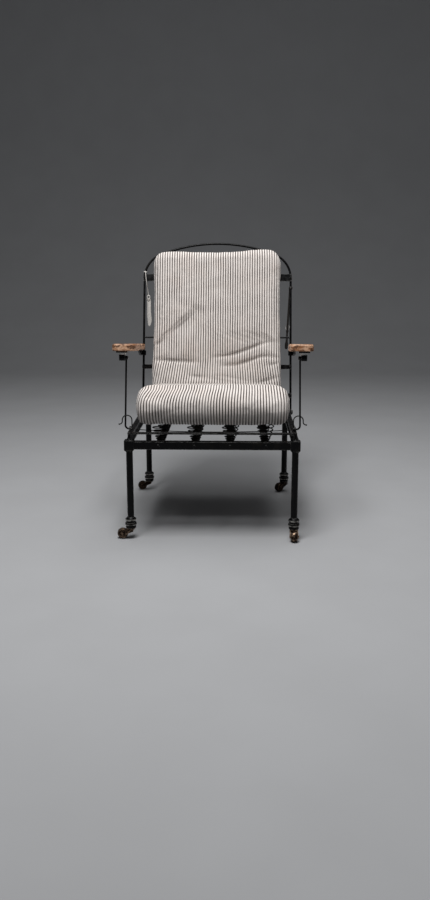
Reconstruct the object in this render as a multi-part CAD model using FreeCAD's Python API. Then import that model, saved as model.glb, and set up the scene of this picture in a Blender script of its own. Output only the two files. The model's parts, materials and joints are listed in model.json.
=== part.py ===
import FreeCAD, Part
import math
import os

# Iron campaign armchair on casters, with a back that reclines and arms that sink with it.
# Millimetres. X runs across the chair, -Y is its front, +Z is up.
# The pieces are drawn with Y = 0 at the front legs' axes and then moved back by middle_depth,
# so that the finished chair stands on the floor with its box centred on the origin.

# Legs and casters
leg_half_span = 290.0          # middle of the chair to a leg's axis
leg_depth_span = 660.0         # front legs' axes to rear legs' axes
leg_diameter = 23.5
foot_height = 40.0             # underside of a leg's turned foot above the floor
foot_plate_radius = 18.0
foot_plate_height = 5.0
foot_cone_height = 5.0
foot_neck_step = 3.0           # plate's edge in to the neck
foot_ring_radius = 20.5
foot_ring_height = 10.0
foot_neck_height = 6.0
foot_collar_radius = 19.5
foot_collar_height = 9.0
foot_shoulder_height = 5.0
foot_ring_bulge = 1.6
wheel_radius = 19.0
wheel_width = 22.0
wheel_edge_round = 2.5
wheel_web_radius = 12.0
wheel_hub_wall = 3.0
wheel_dish = 1.6               # hub's end in to the web
wheel_rim_step = 0.5           # hub's end in to the rim
wheel_slope = 1.0
caster_trail = 30.0            # swivel axis to wheel axis
stem_radius = 5.0
stem_length = 30.0
stem_end_gap = 1.0
fork_disc_radius = 15.0
fork_disc_height = 4.0
fork_cheek = 3.0
fork_neck_height = 9.0
fork_neck_rear = 8.0           # swivel axis to the neck's rear
fork_wheel_gap = 4.0           # neck to wheel
fork_eye_wall = 4.0
fork_cheek_upper = 123.0       # degrees round the eye where a cheek's upper edge leaves it
fork_cheek_lower = -63.0
fork_cheek_step = 2.0          # neck's edges to a cheek's
fork_side_gap = 0.6            # wheel to cheek
axle_radius = 3.0
axle_head = 2.0
axle_head_spread = 1.8
axle_head_round = 1.2
caster_headings = {            # degrees from straight forward, turning towards the chair's left
    "front_left": 90.0,
    "front_right": 0.0,
    "rear_left": 90.0,
    "rear_right": 45.0,
}

# Corner castings and angle iron rails
casting_size = 34.0
casting_height = 41.0
casting_bottom = 318.0
casting_chamfer = 7.0
casting_round = 3.0
casting_top_round = 1.2
leg_tenon = 27.0               # how far a leg stands in its casting
rail_recess = 3.0              # casting face to rail face
rail_wall = 4.0
rail_height = 27.0
rail_flange = 28.0
rail_drop = 4.0                # casting top to rail top
rail_tongue = 8.0
rail_tongue_margin = 4.0

# Border frame above the rails
border_overhang = 5.0          # leg axis to the border's outer edge
border_width = 20.0
border_thickness = 5.0
post_height = 22.0
post_radius = 5.0
post_foot_spread = 4.0
post_foot_height = 6.0

# Spring seat
lath_width = 28.0
lath_thickness = 4.0
lath_drop = 19.0               # rail top to lath top
lath_upturn_gap = 1.0
lath_bend_radius = 3.6
spring_count_x = 4
spring_side_margin = 87.5      # border's inner edge to the outer springs' axes
spring_rows = 4
spring_front_margin = 100.0    # front legs' axes to the first row
spring_rear_margin = 110.0     # last row to the rear legs' axes
spring_turns = 6
spring_rise = 1.4              # power by which the turns open out towards the head
spring_start_turn = 0.25       # the wire starts over its lath
spring_steps = 72              # points to a turn when a spring is measured
spring_wire = 4.0
spring_foot_radius = 12.5
spring_head_radius = 31.0
spring_height = 56.0
spring_seat_gap = 0.3
tie_wire = 3.0
tie_sag = 8.0
tie_gap = 0.6

# Reclining back
back_lean = 16.0               # degrees from upright
hinge_behind_axis = 8.0        # rear leg axis to the back's hinge
hinge_height = 340.0
hinge_bolt_radius = 5.0
hinge_bolt_depth = 5.5
hinge_head_radius = 9.0
hinge_head = 4.5
hinge_head_round = 2.5
hinge_eye_radius = 12.0
hinge_side_gap = 0.3
hoop_diameter = 9.5
hoop_side_gap = 1.25           # casting face to the upright's nearest side
hoop_crown = 725.0             # hinge to the crown, along the back
hoop_crown_radius = 660.0
hoop_shoulder_radius = 110.0
bar_thickness = 4.0
bar_end_overhang = 5.0
bar_end_round = 5.0
top_bar_below_crown = 149.0
top_bar_width = 30.0
lower_bar_height = 192.0       # along the back from the hinge
foot_bar_height = 70.0
lower_bars_width = 19.0
tie_rod_above_arms = 67.0      # arms' studs to the tie rod, along the back
tie_rod_diameter = 7.0
back_lath_width = 25.0
back_lath_thickness = 3.0
back_lath_overhang = 6.0
back_lath_round = 4.0

# Arms, their support rods and catches
rod_length = 252.0             # pivot to pivot
rod_foot_behind_axis = 40.0
rod_foot_above_border = 5.5
rod_diameter = 6.5
rod_side_gap = 9.15            # border edge to the rod
rod_bend_radius = 13.0
rod_eye_radius = 7.0
rod_eye_width = 7.0
pivot_pin_radius = 3.5
pivot_head_radius = 6.0
pivot_head = 2.4
rivet_over_radius = 4.2
rivet_over = 2.5
lug_thickness = 5.7
lug_radius = 9.0
lug_edge_gap = 2.3             # border edge to the lug
arm_slope = 5.6                # degrees, down to the rear
arm_above_pivot = 24.0
arm_thickness = 25.0
arm_front_overhang = 52.0      # in front of the rod's upper pivot
arm_rear_gap = 16.0            # arm's rear end to the rear pivot
arm_outer_reach = 39.0         # upright to the arm's outer edge
arm_outer_taper = 7.0
arm_waist_bow = 0.11           # share of the waist's depth that its curves bow
arm_rear_width = 41.0
arm_front_round = 18.0
arm_rear_round = 12.0
arm_waist_start = 130.0        # from the front end to where the inner edge draws in
arm_waist_end = 330.0
arm_edge_round = 7.0
arm_pad_gap = 6.0              # seat pad to the arm's inner edge
arm_plate_thickness = 6.0
arm_plate_half_length = 22.0
arm_plate_half_width = 20.0
arm_plate_round = 8.0
arm_washer_thickness = 7.0
arm_washer_radius = 13.0
arm_stem_radius = 5.0
arm_block_length = 20.8
arm_block_radius = 10.5
collar_radius = 10.0
collar_length = 20.0
collar_round = 2.0
stud_radius = 4.0
stud_head_radius = 7.0
stud_head = 3.5
stud_head_chamfer = 1.2
knee_thickness = 7.0
knee_eye_radius = 11.0
knee_flange_thickness = 4.0
knee_flange_width = 17.0
knee_flange_length = 66.0
knee_flange_round = 5.0
knee_rear_gap = 2.0            # arm's rear end to the flange's
knee_web_inset = 10.0          # flange's front to the web's
knee_hollow_along = 22.0       # flange's rear to the middle of the web's hollow edge
knee_hollow_below = 1.0        # stud's axis to the same place
knee_side_gap = 0.6
catch_wire = 4.0
catch_inset = 10.4             # border edge to the catch's foot
catch_arch_radius = 17.0
catch_arch_height = 35.0       # border top to the arch's springing
catch_drop = 4.0
catch_tail_radius = 11.0
catch_front_gap = 0.9          # rod to the catch in front of it
catch_head_radius = 3.4
catch_head = 2.2
catch_tip_swell = 0.8

# Pads of the folded mattress
pad_side_inset = 25.0          # leg's axis to a pad's side
seat_pad_gap = 0.3             # spring tops to the pad
seat_crest_above_border = 152.0
seat_rear_above_border = 77.0
seat_nose_behind_axis = 16.0
seat_crest_behind_axis = 105.0
seat_nose_lift = 2.0           # pad's mid height to its foremost line
seat_foot_slope = 0.62         # how far the nose's underside runs back for its height
seat_foot_draw = 0.6           # share of the sides' rounding that the underside takes
seat_rear_foot_round = 16.0
seat_rear_foot_run = 10.0
seat_rear_top_round = 14.0
seat_rear_top_run = 16.0
seat_rear_draw = 0.33          # share of the sides' rounding that the rear edges take
back_pad_thickness = 65.0
back_pad_rear_gap = 0.3        # rivet heads to the pad
back_pad_foot = 55.0
back_pad_below_crown = 33.0    # hoop's crown to the pad's top corners, along the back
back_pad_dip = 9.0             # top corners down to the middle of the top edge
back_pad_shoulder_inset = 53.0 # pad's side to the highest place of its top edge
back_pad_rear_draw = 0.3       # share of the sides' rounding that the rear takes
back_pad_foot_draw = 0.5
back_pad_edge_radius = 32.0
back_pad_side_radius = 24.0
back_pad_corner_radius = 40.0
seat_pad_side_radius = 30.0
pad_side_fullness = 0.9        # how deep a pad's ends draw in for their rounding
pad_crown = 2.0
pad_edge_angles = (8, 22, 36, 50, 64, 78, 90)
pad_inner_stations = (0.72, 0.48, 0.24)
pad_joint_gap = 1.5            # back pad to seat pad

# Straps tied to the back
tape_below_crown = 123.0       # along the back
tape_width = 13.0
tape_thickness = 3.0
tape_neck_width = 5.0
tape_neck_length = 100.0
tape_neck_drift = 12.0
tape_length = 129.0
tape_drift = 2.0
tape_ring_length = 9.0
strap_below_crown = 192.0
strap_width = 9.0
strap_thickness = 3.0
strap_length = 262.0
strap_drift = 12.0
strap_tab_width = 14.0
strap_tab_length = 30.0
strap_inset = 2.0              # upright's axis to the strap's middle
strap_loop_wall = 3.5
buckle_below_tie = 168.0
buckle_width = 17.0
buckle_height = 18.0
buckle_wire = 2.8
buckle_prong_radius = 1.3
buckle_round = 4.0
buckle_gap = 0.4

# Fits
running_clearance = 0.05
seating_clearance = 0.05
end_play = 0.3                 # a turning piece to the face beside it
ring_clearance = 0.2           # tied bands to the hoop
rivet_radius = 2.5
rivet_head_radius = 4.5
rivet_head_height = 2.2
cut_past = 1.0                 # how far a cut runs past what it cuts
join = 1.0                     # how far shapes run into each other before they become one

# Places worked out from the sizes above
leg_radius = leg_diameter / 2
casting_half = casting_size / 2
casting_outer = leg_half_span + casting_half
casting_top = casting_bottom + casting_height
rail_top = casting_top - rail_drop
rail_bottom = rail_top - rail_height
rail_face = casting_half - rail_recess
border_outer = leg_half_span + border_overhang
border_inner = border_outer - border_width
border_bottom = casting_top + post_height
border_top = border_bottom + border_thickness
lath_top = rail_top - lath_drop
lath_bottom = lath_top - lath_thickness
spring_reach_x = border_inner - spring_side_margin
spring_spacing_x = 2 * spring_reach_x / (spring_count_x - 1)
spring_row_spacing = (leg_depth_span - spring_front_margin - spring_rear_margin) / (spring_rows - 1)
spring_xs = [i * spring_spacing_x - spring_reach_x for i in range(spring_count_x)]
spring_ys = [spring_front_margin + i * spring_row_spacing for i in range(spring_rows)]
spring_radius = spring_wire / 2
spring_start = lath_top + spring_seat_gap + spring_radius
spring_top = spring_start + spring_height + spring_radius
hoop_radius = hoop_diameter / 2
hoop_x = casting_outer + hoop_side_gap + hoop_radius
lean = math.radians(back_lean)
rod_step = (rod_length * math.sin(lean), rod_length * math.cos(lean))
rod_x = border_outer + rod_side_gap + rod_diameter / 2
rod_foot = (rod_foot_behind_axis, border_top + rod_foot_above_border)
rod_head = (rod_foot[0] + rod_step[0], rod_foot[1] + rod_step[1])
back_hinge = (leg_depth_span + hinge_behind_axis, hinge_height)
arm_hinge = (back_hinge[0] + rod_step[0], back_hinge[1] + rod_step[1])
slope = math.radians(arm_slope)
arm_seat = (
    rod_head[0] + arm_above_pivot * math.sin(slope),
    rod_head[1] + arm_above_pivot * math.cos(slope),
)
arm_reach = (arm_hinge[0] - rod_head[0], arm_hinge[1] - rod_head[1])
arm_hinge_along = arm_reach[0] * math.cos(slope) - arm_reach[1] * math.sin(slope)
arm_hinge_below = arm_reach[0] * math.sin(slope) + arm_reach[1] * math.cos(slope) - arm_above_pivot
catch_x = border_outer - catch_inset
catch_crest = border_top + catch_arch_height + catch_arch_radius
catch_y = (
    rod_foot[0] + (catch_crest - rod_foot[1]) * math.tan(lean)
    - rod_diameter / 2 / math.cos(lean) - catch_front_gap - catch_wire / 2
)
bars = {                       # height along the back from the hinge, and width
    "back_top_bar": (hoop_crown - top_bar_below_crown, top_bar_width),
    "back_lower_bar": (lower_bar_height, lower_bars_width),
    "back_foot_bar": (foot_bar_height, lower_bars_width),
}
tie_rod_height = rod_length + tie_rod_above_arms
tape_tie_height = hoop_crown - tape_below_crown
strap_tie_height = hoop_crown - strap_below_crown
bar_rear = hoop_radius
bar_front = bar_rear + bar_thickness
back_lath_front = bar_front + back_lath_thickness
back_pad_rear = back_lath_front + rivet_head_height + back_pad_rear_gap
back_pad_front = back_pad_rear + back_pad_thickness
back_pad_top = hoop_crown - back_pad_below_crown
pad_half_width = leg_half_span - pad_side_inset
rivet_dome = (rivet_head_radius ** 2 + rivet_head_height ** 2) / (2 * rivet_head_height)
quarter_bulge = math.sqrt(2) - 1
front_reach = -(caster_trail + wheel_radius)
rear_reach = back_hinge[0] + hoop_crown * math.sin(lean) + hoop_radius
middle_depth = (front_reach + rear_reach) / 2


def point(x, y, z):
    return FreeCAD.Vector(x, y, z)


X_AXIS = point(1, 0, 0)
Y_AXIS = point(0, 1, 0)
Z_AXIS = point(0, 0, 1)
ORIGIN = point(0, 0, 0)


def block(x0, x1, y0, y1, z0, z1):
    """Box between two corners, given in any order."""
    low = point(min(x0, x1), min(y0, y1), min(z0, z1))
    return Part.makeBox(abs(x1 - x0), abs(y1 - y0), abs(z1 - z0), low)


def rod_between(start, end, radius):
    """Round bar from one point to another."""
    return Part.makeCylinder(radius, (end - start).Length, start, end - start)


def across(x0, x1, y, z, radius):
    """Round bar along X."""
    return rod_between(point(x0, y, z), point(x1, y, z), radius)


def along(y0, y1, x, z, radius):
    """Round bar along Y."""
    return rod_between(point(x, y0, z), point(x, y1, z), radius)


def upright(z0, z1, x, y, radius):
    """Round bar along Z."""
    return rod_between(point(x, y, z0), point(x, y, z1), radius)


def fused(shapes):
    """One clean solid out of several that overlap."""
    return shapes[0].multiFuse(shapes[1:]).removeSplitter()


def plate(corners, normal):
    """Flat plate: a polygon pushed along a vector."""
    return Part.Face(Part.makePolygon(corners + corners[:1])).extrude(normal)


def turned(profile, axis_point, axis):
    """Solid of revolution from edges that lie in one half plane."""
    wire = Part.Wire(Part.__sortEdges__(profile))
    return Part.Face(wire).revolve(axis_point, axis, 360)


def line(a, b):
    return Part.LineSegment(a, b).toShape()


def arc(a, middle, b):
    return Part.Arc(a, middle, b).toShape()


def rounded(a, corner, b):
    """Arc between two points that bulges towards a corner, as a quarter circle does."""
    chord = (a + b) * 0.5
    return arc(a, chord + (corner - chord) * quarter_bulge, b)


def swept(edges, radius):
    """Round tube along joined edges."""
    path = Part.Wire(edges)
    first = path.Edges[0]
    start = first.valueAt(first.FirstParameter)
    heading = first.tangentAt(first.FirstParameter)
    ring = Part.Wire(Part.makeCircle(radius, start, heading))
    return Part.Solid(path.makePipeShell([ring], True, False))


def edges_along(shape, direction, test):
    """Straight edges that run along a direction and pass a test on their middle."""
    found = []
    for edge in shape.Edges:
        if edge.Curve.TypeId != "Part::GeomLine":
            continue
        heading = edge.tangentAt(edge.FirstParameter)
        if abs(heading.dot(direction)) > 0.999 and test(edge.CenterOfMass):
            found.append(edge)
    return found


def always(middle):
    return True


def mirrored(shape):
    """The same piece on the chair's left."""
    return shape.mirror(ORIGIN, X_AXIS)


def both_sides(shape):
    return [shape, mirrored(shape)]


def on_back(shape):
    """Lean a piece drawn on an upright back, hinge at the origin and front at -Y."""
    placed = shape.copy()
    placed.rotate(ORIGIN, X_AXIS, -back_lean)
    placed.translate(point(0, back_hinge[0], back_hinge[1]))
    return placed


def on_arm(shape):
    """Place a piece drawn under a level arm, its underside at Z = 0 and the rod's pivot at Y = 0."""
    placed = shape.copy()
    placed.rotate(ORIGIN, X_AXIS, -arm_slope)
    placed.translate(point(0, arm_seat[0], arm_seat[1]))
    return placed


def save(name, shapes):
    """Write one named piece, or a group of like pieces, centred over the origin."""
    solids = shapes if isinstance(shapes, list) else [shapes]
    moved = [shape.translated(point(0, -middle_depth, 0)) for shape in solids]
    for shape in moved:
        if not shape.isValid():
            print("not valid:", name)
    whole = moved[0] if len(moved) == 1 else Part.makeCompound(moved)
    whole.exportStep(os.path.join("parts", name + ".step"))


def corner_places():
    """Name, side and depth of each leg's axis."""
    return [
        ("front_left", -1, 0.0),
        ("front_right", 1, 0.0),
        ("rear_left", -1, leg_depth_span),
        ("rear_right", 1, leg_depth_span),
    ]


def leg():
    """Turned leg on the origin's axis: plate, two rings and a plain shaft, bored for the caster's stem."""
    def at(radius, height):
        return point(radius, 0, foot_height + height)

    neck = foot_plate_radius - foot_neck_step
    ring = foot_ring_radius - foot_ring_bulge
    collar = foot_collar_radius - foot_ring_bulge
    ring_low = foot_plate_height + foot_cone_height
    ring_high = ring_low + foot_ring_height
    collar_low = ring_high + foot_neck_height
    collar_high = collar_low + foot_collar_height
    shaft_low = collar_high + foot_shoulder_height
    top = casting_bottom + leg_tenon - foot_height
    bore = stem_radius + running_clearance
    bore_top = stem_length + stem_end_gap
    profile = [
        line(at(bore, 0), at(foot_plate_radius, 0)),
        line(at(foot_plate_radius, 0), at(foot_plate_radius, foot_plate_height)),
        line(at(foot_plate_radius, foot_plate_height), at(neck, ring_low)),
        line(at(neck, ring_low), at(ring, ring_low)),
        arc(at(ring, ring_low), at(foot_ring_radius, (ring_low + ring_high) / 2), at(ring, ring_high)),
        line(at(ring, ring_high), at(neck, ring_high)),
        line(at(neck, ring_high), at(neck, collar_low)),
        line(at(neck, collar_low), at(collar, collar_low)),
        arc(
            at(collar, collar_low),
            at(foot_collar_radius, (collar_low + collar_high) / 2),
            at(collar, collar_high),
        ),
        line(at(collar, collar_high), at(leg_radius, shaft_low)),
        line(at(leg_radius, shaft_low), at(leg_radius, top)),
        line(at(leg_radius, top), at(0, top)),
        line(at(0, top), at(0, bore_top)),
        line(at(0, bore_top), at(bore, bore_top)),
        line(at(bore, bore_top), at(bore, 0)),
    ]
    return turned(profile, ORIGIN, Z_AXIS)


def casting(side, rear):
    """Cast corner on the origin's axis, bored for the leg and slotted for two rails."""
    half = casting_half
    body = block(-half, half, -half, half, casting_bottom, casting_top)
    lower = [e for e in body.Edges if abs(e.CenterOfMass.z - casting_bottom) < 0.01]
    body = body.makeChamfer(casting_chamfer, lower)
    sides = edges_along(body, Z_AXIS, always)
    body = body.makeFillet(casting_round, sides)
    upper = [e for e in body.Edges if abs(e.BoundBox.ZMin - casting_top) < 0.01]
    body = body.makeFillet(casting_top_round, upper)
    tenon_top = casting_bottom + leg_tenon
    bore = upright(casting_bottom - cut_past, tenon_top, 0, 0, leg_radius + seating_clearance)
    body = body.cut(bore)
    inward = -side
    facing = -1 if rear else 1
    fit = seating_clearance
    low = rail_bottom + rail_tongue_margin - fit
    high = rail_top - rail_wall - rail_tongue_margin + fit
    face = -facing * rail_face
    inner = face + facing * rail_wall
    cross_slot = block(
        inward * (half - rail_tongue - fit), inward * (half + cut_past),
        face - facing * fit, inner + facing * fit, low, high,
    )
    face = side * rail_face
    inner = face - side * rail_wall
    side_slot = block(
        face + side * fit, inner - side * fit,
        facing * (half - rail_tongue - fit), facing * (half + cut_past), low, high,
    )
    body = body.cut(cross_slot).cut(side_slot)
    if rear:
        hole = across(
            side * (half - hinge_bolt_depth), side * (half + cut_past),
            hinge_behind_axis, hinge_height, hinge_bolt_radius + seating_clearance,
        )
        body = body.cut(hole)
    return body


def angle_rail(length):
    """Angle iron along X with its face at Y = 0, its flange behind and a tongue at each end."""
    half = length / 2
    web = block(-half, half, 0, rail_wall, rail_bottom, rail_top)
    flange = block(-half, half, 0, rail_flange, rail_top - rail_wall, rail_top)
    reach = half + rail_tongue
    low = rail_bottom + rail_tongue_margin
    high = rail_top - rail_wall - rail_tongue_margin
    tongue = block(-reach, reach, 0, rail_wall, low, high)
    return fused([web, flange, tongue])


def rivet(length):
    """Rivet along +Y from the origin, a domed head at each end of its grip."""
    def at(radius, y):
        return point(radius, y, 0)

    half_turn = math.asin(rivet_head_radius / rivet_dome) / 2
    shoulder = rivet_dome * math.sin(half_turn)
    drop = rivet_dome * (1 - math.cos(half_turn))
    near = -rivet_head_height
    far = length + rivet_head_height
    profile = [
        line(at(0, near), at(0, far)),
        arc(at(0, far), at(shoulder, far - drop), at(rivet_head_radius, length)),
        line(at(rivet_head_radius, length), at(rivet_radius, length)),
        line(at(rivet_radius, length), at(rivet_radius, 0)),
        line(at(rivet_radius, 0), at(rivet_head_radius, 0)),
        arc(at(rivet_head_radius, 0), at(shoulder, near + drop), at(0, near)),
    ]
    return turned(profile, ORIGIN, Y_AXIS)


def rivet_hole(length):
    return along(-cut_past, length + cut_past, 0, 0, rivet_radius + seating_clearance)


def lath_rivet_places():
    """Middle height of the laths' upturned ends, for each lath."""
    height = (lath_bottom + rail_top - rail_wall - lath_upturn_gap) / 2
    return [(x, height) for x in spring_xs]


def seat_frame():
    leg_shape = leg()
    for name, side, depth in corner_places():
        place = point(side * leg_half_span, depth, 0)
        save(name + "_leg", leg_shape.translated(place))
        save(name + "_casting", casting(side, depth > 0).translated(place))
    cross_length = 2 * (leg_half_span - casting_half)
    front = angle_rail(cross_length)
    front.translate(point(0, -rail_face, 0))
    grip = rail_wall + lath_thickness
    for x, z in lath_rivet_places():
        front = front.cut(rivet_hole(grip).translated(point(x, -rail_face, z)))
    rear = front.mirror(point(0, leg_depth_span / 2, 0), Y_AXIS)
    save("front_rail", front)
    save("rear_rail", rear)
    side_rail = angle_rail(leg_depth_span - casting_size)
    side_rail.rotate(ORIGIN, Z_AXIS, 90)
    side_rail.translate(point(leg_half_span + rail_face, leg_depth_span / 2, 0))
    save("right_rail", side_rail)
    save("left_rail", mirrored(side_rail))


def border_rivet():
    """Rivet through the border, its head on top and its end on the post."""
    shank = upright(border_bottom, border_top, 0, 0, rivet_radius)
    ball = Part.makeSphere(rivet_dome, point(0, 0, border_top + rivet_head_height - rivet_dome))
    above = block(-rivet_dome, rivet_dome, -rivet_dome, rivet_dome, border_top, border_top + rivet_dome)
    return fused([shank, ball.common(above)])


def border_frame():
    """Flat iron border on four posts, the bars butted at the corners and riveted to the posts."""
    half = border_width / 2
    hole_radius = rivet_radius + seating_clearance
    hole = upright(border_bottom - cut_past, border_top + cut_past, 0, 0, hole_radius)
    for name, depth, outward in (("border_front", 0.0, -1), ("border_rear", leg_depth_span, 1)):
        bar = block(-border_outer, border_outer, depth - half, depth + half, border_bottom, border_top)
        corners = edges_along(bar, Z_AXIS, lambda middle: (middle.y - depth) * outward > 0)
        bar = bar.makeFillet(border_overhang, corners)
        for side in (-1, 1):
            bar = bar.cut(hole.translated(point(side * leg_half_span, depth, 0)))
        save(name, bar)
    side_bar = block(border_inner, border_outer, half, leg_depth_span - half, border_bottom, border_top)
    foot_radius = catch_wire / 2 + running_clearance
    foot_hole = upright(border_bottom - cut_past, border_top + cut_past, catch_x, catch_y, foot_radius)
    side_bar = side_bar.cut(foot_hole)
    save("border_right", side_bar)
    save("border_left", mirrored(side_bar))
    post = upright(casting_top, border_bottom, 0, 0, post_radius)
    spread = post_radius + post_foot_spread
    foot = Part.makeCone(spread, post_radius, post_foot_height, point(0, 0, casting_top))
    post = fused([post, foot])
    places = [point(side * leg_half_span, depth, 0) for _, side, depth in corner_places()]
    save("border_posts", [post.translated(place) for place in places])
    return [border_rivet().translated(place) for place in places]


def seat_laths(border_rivets):
    """Flat iron laths with upturned ends, riveted inside the front and rear rails."""
    start = -rail_face + rail_wall
    end = leg_depth_span - start
    half = lath_width / 2
    ends_top = rail_top - rail_wall - lath_upturn_gap
    grip = rail_wall + lath_thickness
    laths = []
    rivets = list(border_rivets)
    for x, z in lath_rivet_places():
        strip = block(x - half, x + half, start, end, lath_bottom, lath_top)
        front = block(x - half, x + half, start, start + lath_thickness, lath_bottom, ends_top)
        rear = block(x - half, x + half, end - lath_thickness, end, lath_bottom, ends_top)
        lath = fused([strip, front, rear])
        bends = edges_along(lath, X_AXIS, lambda c: abs(c.z - lath_bottom) < 0.01)
        lath = lath.makeFillet(lath_bend_radius, bends)
        for y in (-rail_face, leg_depth_span + rail_face - grip):
            lath = lath.cut(rivet_hole(grip).translated(point(x, y, z)))
            rivets.append(rivet(grip).translated(point(x, y, z)))
        laths.append(lath)
    save("seat_laths", laths)
    save("frame_rivets", rivets)


def arc_from(start, heading, end):
    """Arc from a point, leaving it along a heading, to another point."""
    chord = end - start
    unit = FreeCAD.Vector(chord).normalize()
    lift = heading - unit * heading.dot(unit)
    lift.normalize()
    turn = math.acos(max(-1.0, min(1.0, heading.dot(unit))))
    middle = start + chord * 0.5 + lift * (chord.Length / 2 * math.tan(turn / 2))
    return arc(start, middle, end)


def biarc(p0, t0, p1, t1):
    """Two arcs that join a point and heading to the next point and heading."""
    chord = p1 - p0
    both = t0 + t1
    spread = 2 * (1 - t0.dot(t1))
    reach = chord.dot(both)
    step = (-reach + math.sqrt(reach * reach + spread * chord.dot(chord))) / spread
    joint = (p0 + p1 + (t0 - t1) * step) * 0.5
    first = arc_from(p0, t0, joint)
    second = arc_from(p1, t1 * -1, joint)
    return [first, second]


def spring_point(turn):
    """Point on a conical spring's centre line after a number of turns."""
    share = turn / spring_turns
    radius = spring_foot_radius + (spring_head_radius - spring_foot_radius) * share
    angle = 2 * math.pi * (turn + spring_start_turn)
    height = spring_start + spring_height * share ** spring_rise
    return point(radius * math.cos(angle), radius * math.sin(angle), height)


def spring_heading(turn):
    step = 1e-4
    heading = spring_point(turn + step) - spring_point(max(0.0, turn - step))
    return heading.normalize()


def spring():
    """Conical coil spring on the origin's axis, its wide end up."""
    edges = []
    for half_turn in range(2 * spring_turns):
        a = half_turn / 2
        b = (half_turn + 1) / 2
        edges += biarc(spring_point(a), spring_heading(a), spring_point(b), spring_heading(b))
    return swept(Part.__sortEdges__(edges), spring_radius)


def measure_spring(shape):
    """Print the least gap between a spring's turns, and its volume over its wire's section times length."""
    steps = spring_steps
    points = [spring_point(i / steps) for i in range(spring_turns * steps + 1)]
    gaps = []
    for i, here in enumerate(points):
        gaps += [here.distanceToPoint(there) for there in points[i + steps // 2:]]
    length = sum(a.distanceToPoint(b) for a, b in zip(points, points[1:]))
    section = math.pi * spring_radius ** 2
    print("spring: least self gap %.2f mm" % (min(gaps) - spring_wire))
    print("spring: volume over section times length %.4f" % (shape.Volume / section / length))


def seat_springs():
    one = spring()
    measure_spring(one)
    save("seat_springs", [one.translated(point(x, y, 0)) for y in spring_ys for x in spring_xs])
    ties = []
    height = border_bottom + border_thickness / 2
    reach = spring_head_radius + spring_radius + tie_wire / 2 + tie_gap
    for y in spring_ys:
        left = point(-border_inner, y - reach, height)
        right = point(border_inner, y - reach, height)
        low = point(0, y - reach, height - tie_sag)
        ties.append(swept([arc(left, low, right)], tie_wire / 2))
    save("spring_ties", ties)


def shoulder_height():
    """Height along the back where the uprights begin to turn inward."""
    inner = hoop_shoulder_radius
    rise = math.sqrt((hoop_crown_radius - inner) ** 2 - (hoop_x - inner) ** 2)
    return hoop_crown - hoop_crown_radius + rise


def back_hoop():
    """Round iron hoop: two uprights, tight shoulders and a shallow crown, with an eye at each foot."""
    inner = hoop_shoulder_radius
    crown_centre = hoop_crown - hoop_crown_radius
    shoulder = shoulder_height()
    toward = math.atan2(shoulder - crown_centre, hoop_x - inner)
    rise = hoop_crown_radius * math.sin(toward)
    meet = point(hoop_crown_radius * math.cos(toward), 0, crown_centre + rise)
    half = toward / 2
    bend = point(hoop_x - inner + inner * math.cos(half), 0, shoulder + inner * math.sin(half))
    crown = point(0, 0, hoop_crown)

    def left(p):
        return point(-p.x, 0, p.z)

    foot = point(hoop_x, 0, 0)
    top = point(hoop_x, 0, shoulder)
    tube = swept([
        line(left(foot), left(top)),
        arc(left(top), left(bend), left(meet)),
        arc(left(meet), crown, meet),
        arc(meet, bend, top),
        line(top, foot),
    ], hoop_radius)
    shapes = [tube]
    cuts = []
    for side in (-1, 1):
        near = hoop_x - hoop_radius
        far = hoop_x + hoop_radius
        shapes.append(across(side * near, side * far, 0, 0, hinge_eye_radius))
        bore = hinge_bolt_radius + running_clearance
        cuts.append(across(side * (near - cut_past), side * (far + cut_past), 0, 0, bore))
        for height, _ in bars.values():
            cuts.append(rivet_hole(2 * hoop_radius).translated(point(side * hoop_x, -hoop_radius, height)))
    return on_back(fused(shapes).cut(Part.makeCompound(cuts)))


def back_frame():
    save("back_hoop", back_hoop())
    rivets = []
    reach = hoop_x + bar_end_overhang
    long_grip = bar_thickness + hoop_diameter
    lath_grip = bar_thickness + back_lath_thickness
    lath_holes = []
    for name, (height, width) in bars.items():
        bar = block(-reach, reach, -bar_front, -bar_rear, height - width / 2, height + width / 2)
        bar = bar.makeFillet(bar_end_round, edges_along(bar, Y_AXIS, always))
        for x in (-hoop_x, hoop_x):
            place = point(x, -bar_front, height)
            bar = bar.cut(rivet_hole(long_grip).translated(place))
            rivets.append(on_back(rivet(long_grip).translated(place)))
        for x in spring_xs:
            place = point(x, -back_lath_front, height)
            lath_holes.append(rivet_hole(lath_grip).translated(place))
            bar = bar.cut(lath_holes[-1])
            rivets.append(on_back(rivet(lath_grip).translated(place)))
        save(name, on_back(bar))
    rod_reach = hoop_x - hoop_radius
    save("back_tie_rod", on_back(across(-rod_reach, rod_reach, 0, tie_rod_height, tie_rod_diameter / 2)))
    low = foot_bar_height - lower_bars_width / 2 - back_lath_overhang
    high = hoop_crown - top_bar_below_crown + top_bar_width / 2 + back_lath_overhang
    half = back_lath_width / 2
    laths = []
    for x in spring_xs:
        lath = block(x - half, x + half, -back_lath_front, -bar_front, low, high)
        lath = lath.makeFillet(back_lath_round, edges_along(lath, Y_AXIS, always))
        for hole in lath_holes:
            lath = lath.cut(hole)
        laths.append(on_back(lath))
    save("back_laths", laths)
    save("back_rivets", rivets)


def end_rim(shape, x):
    """Edges of a round bar's end face, which lies across X."""
    return [edge for edge in shape.Edges if abs(edge.CenterOfMass.x - x) < 0.01]


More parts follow.
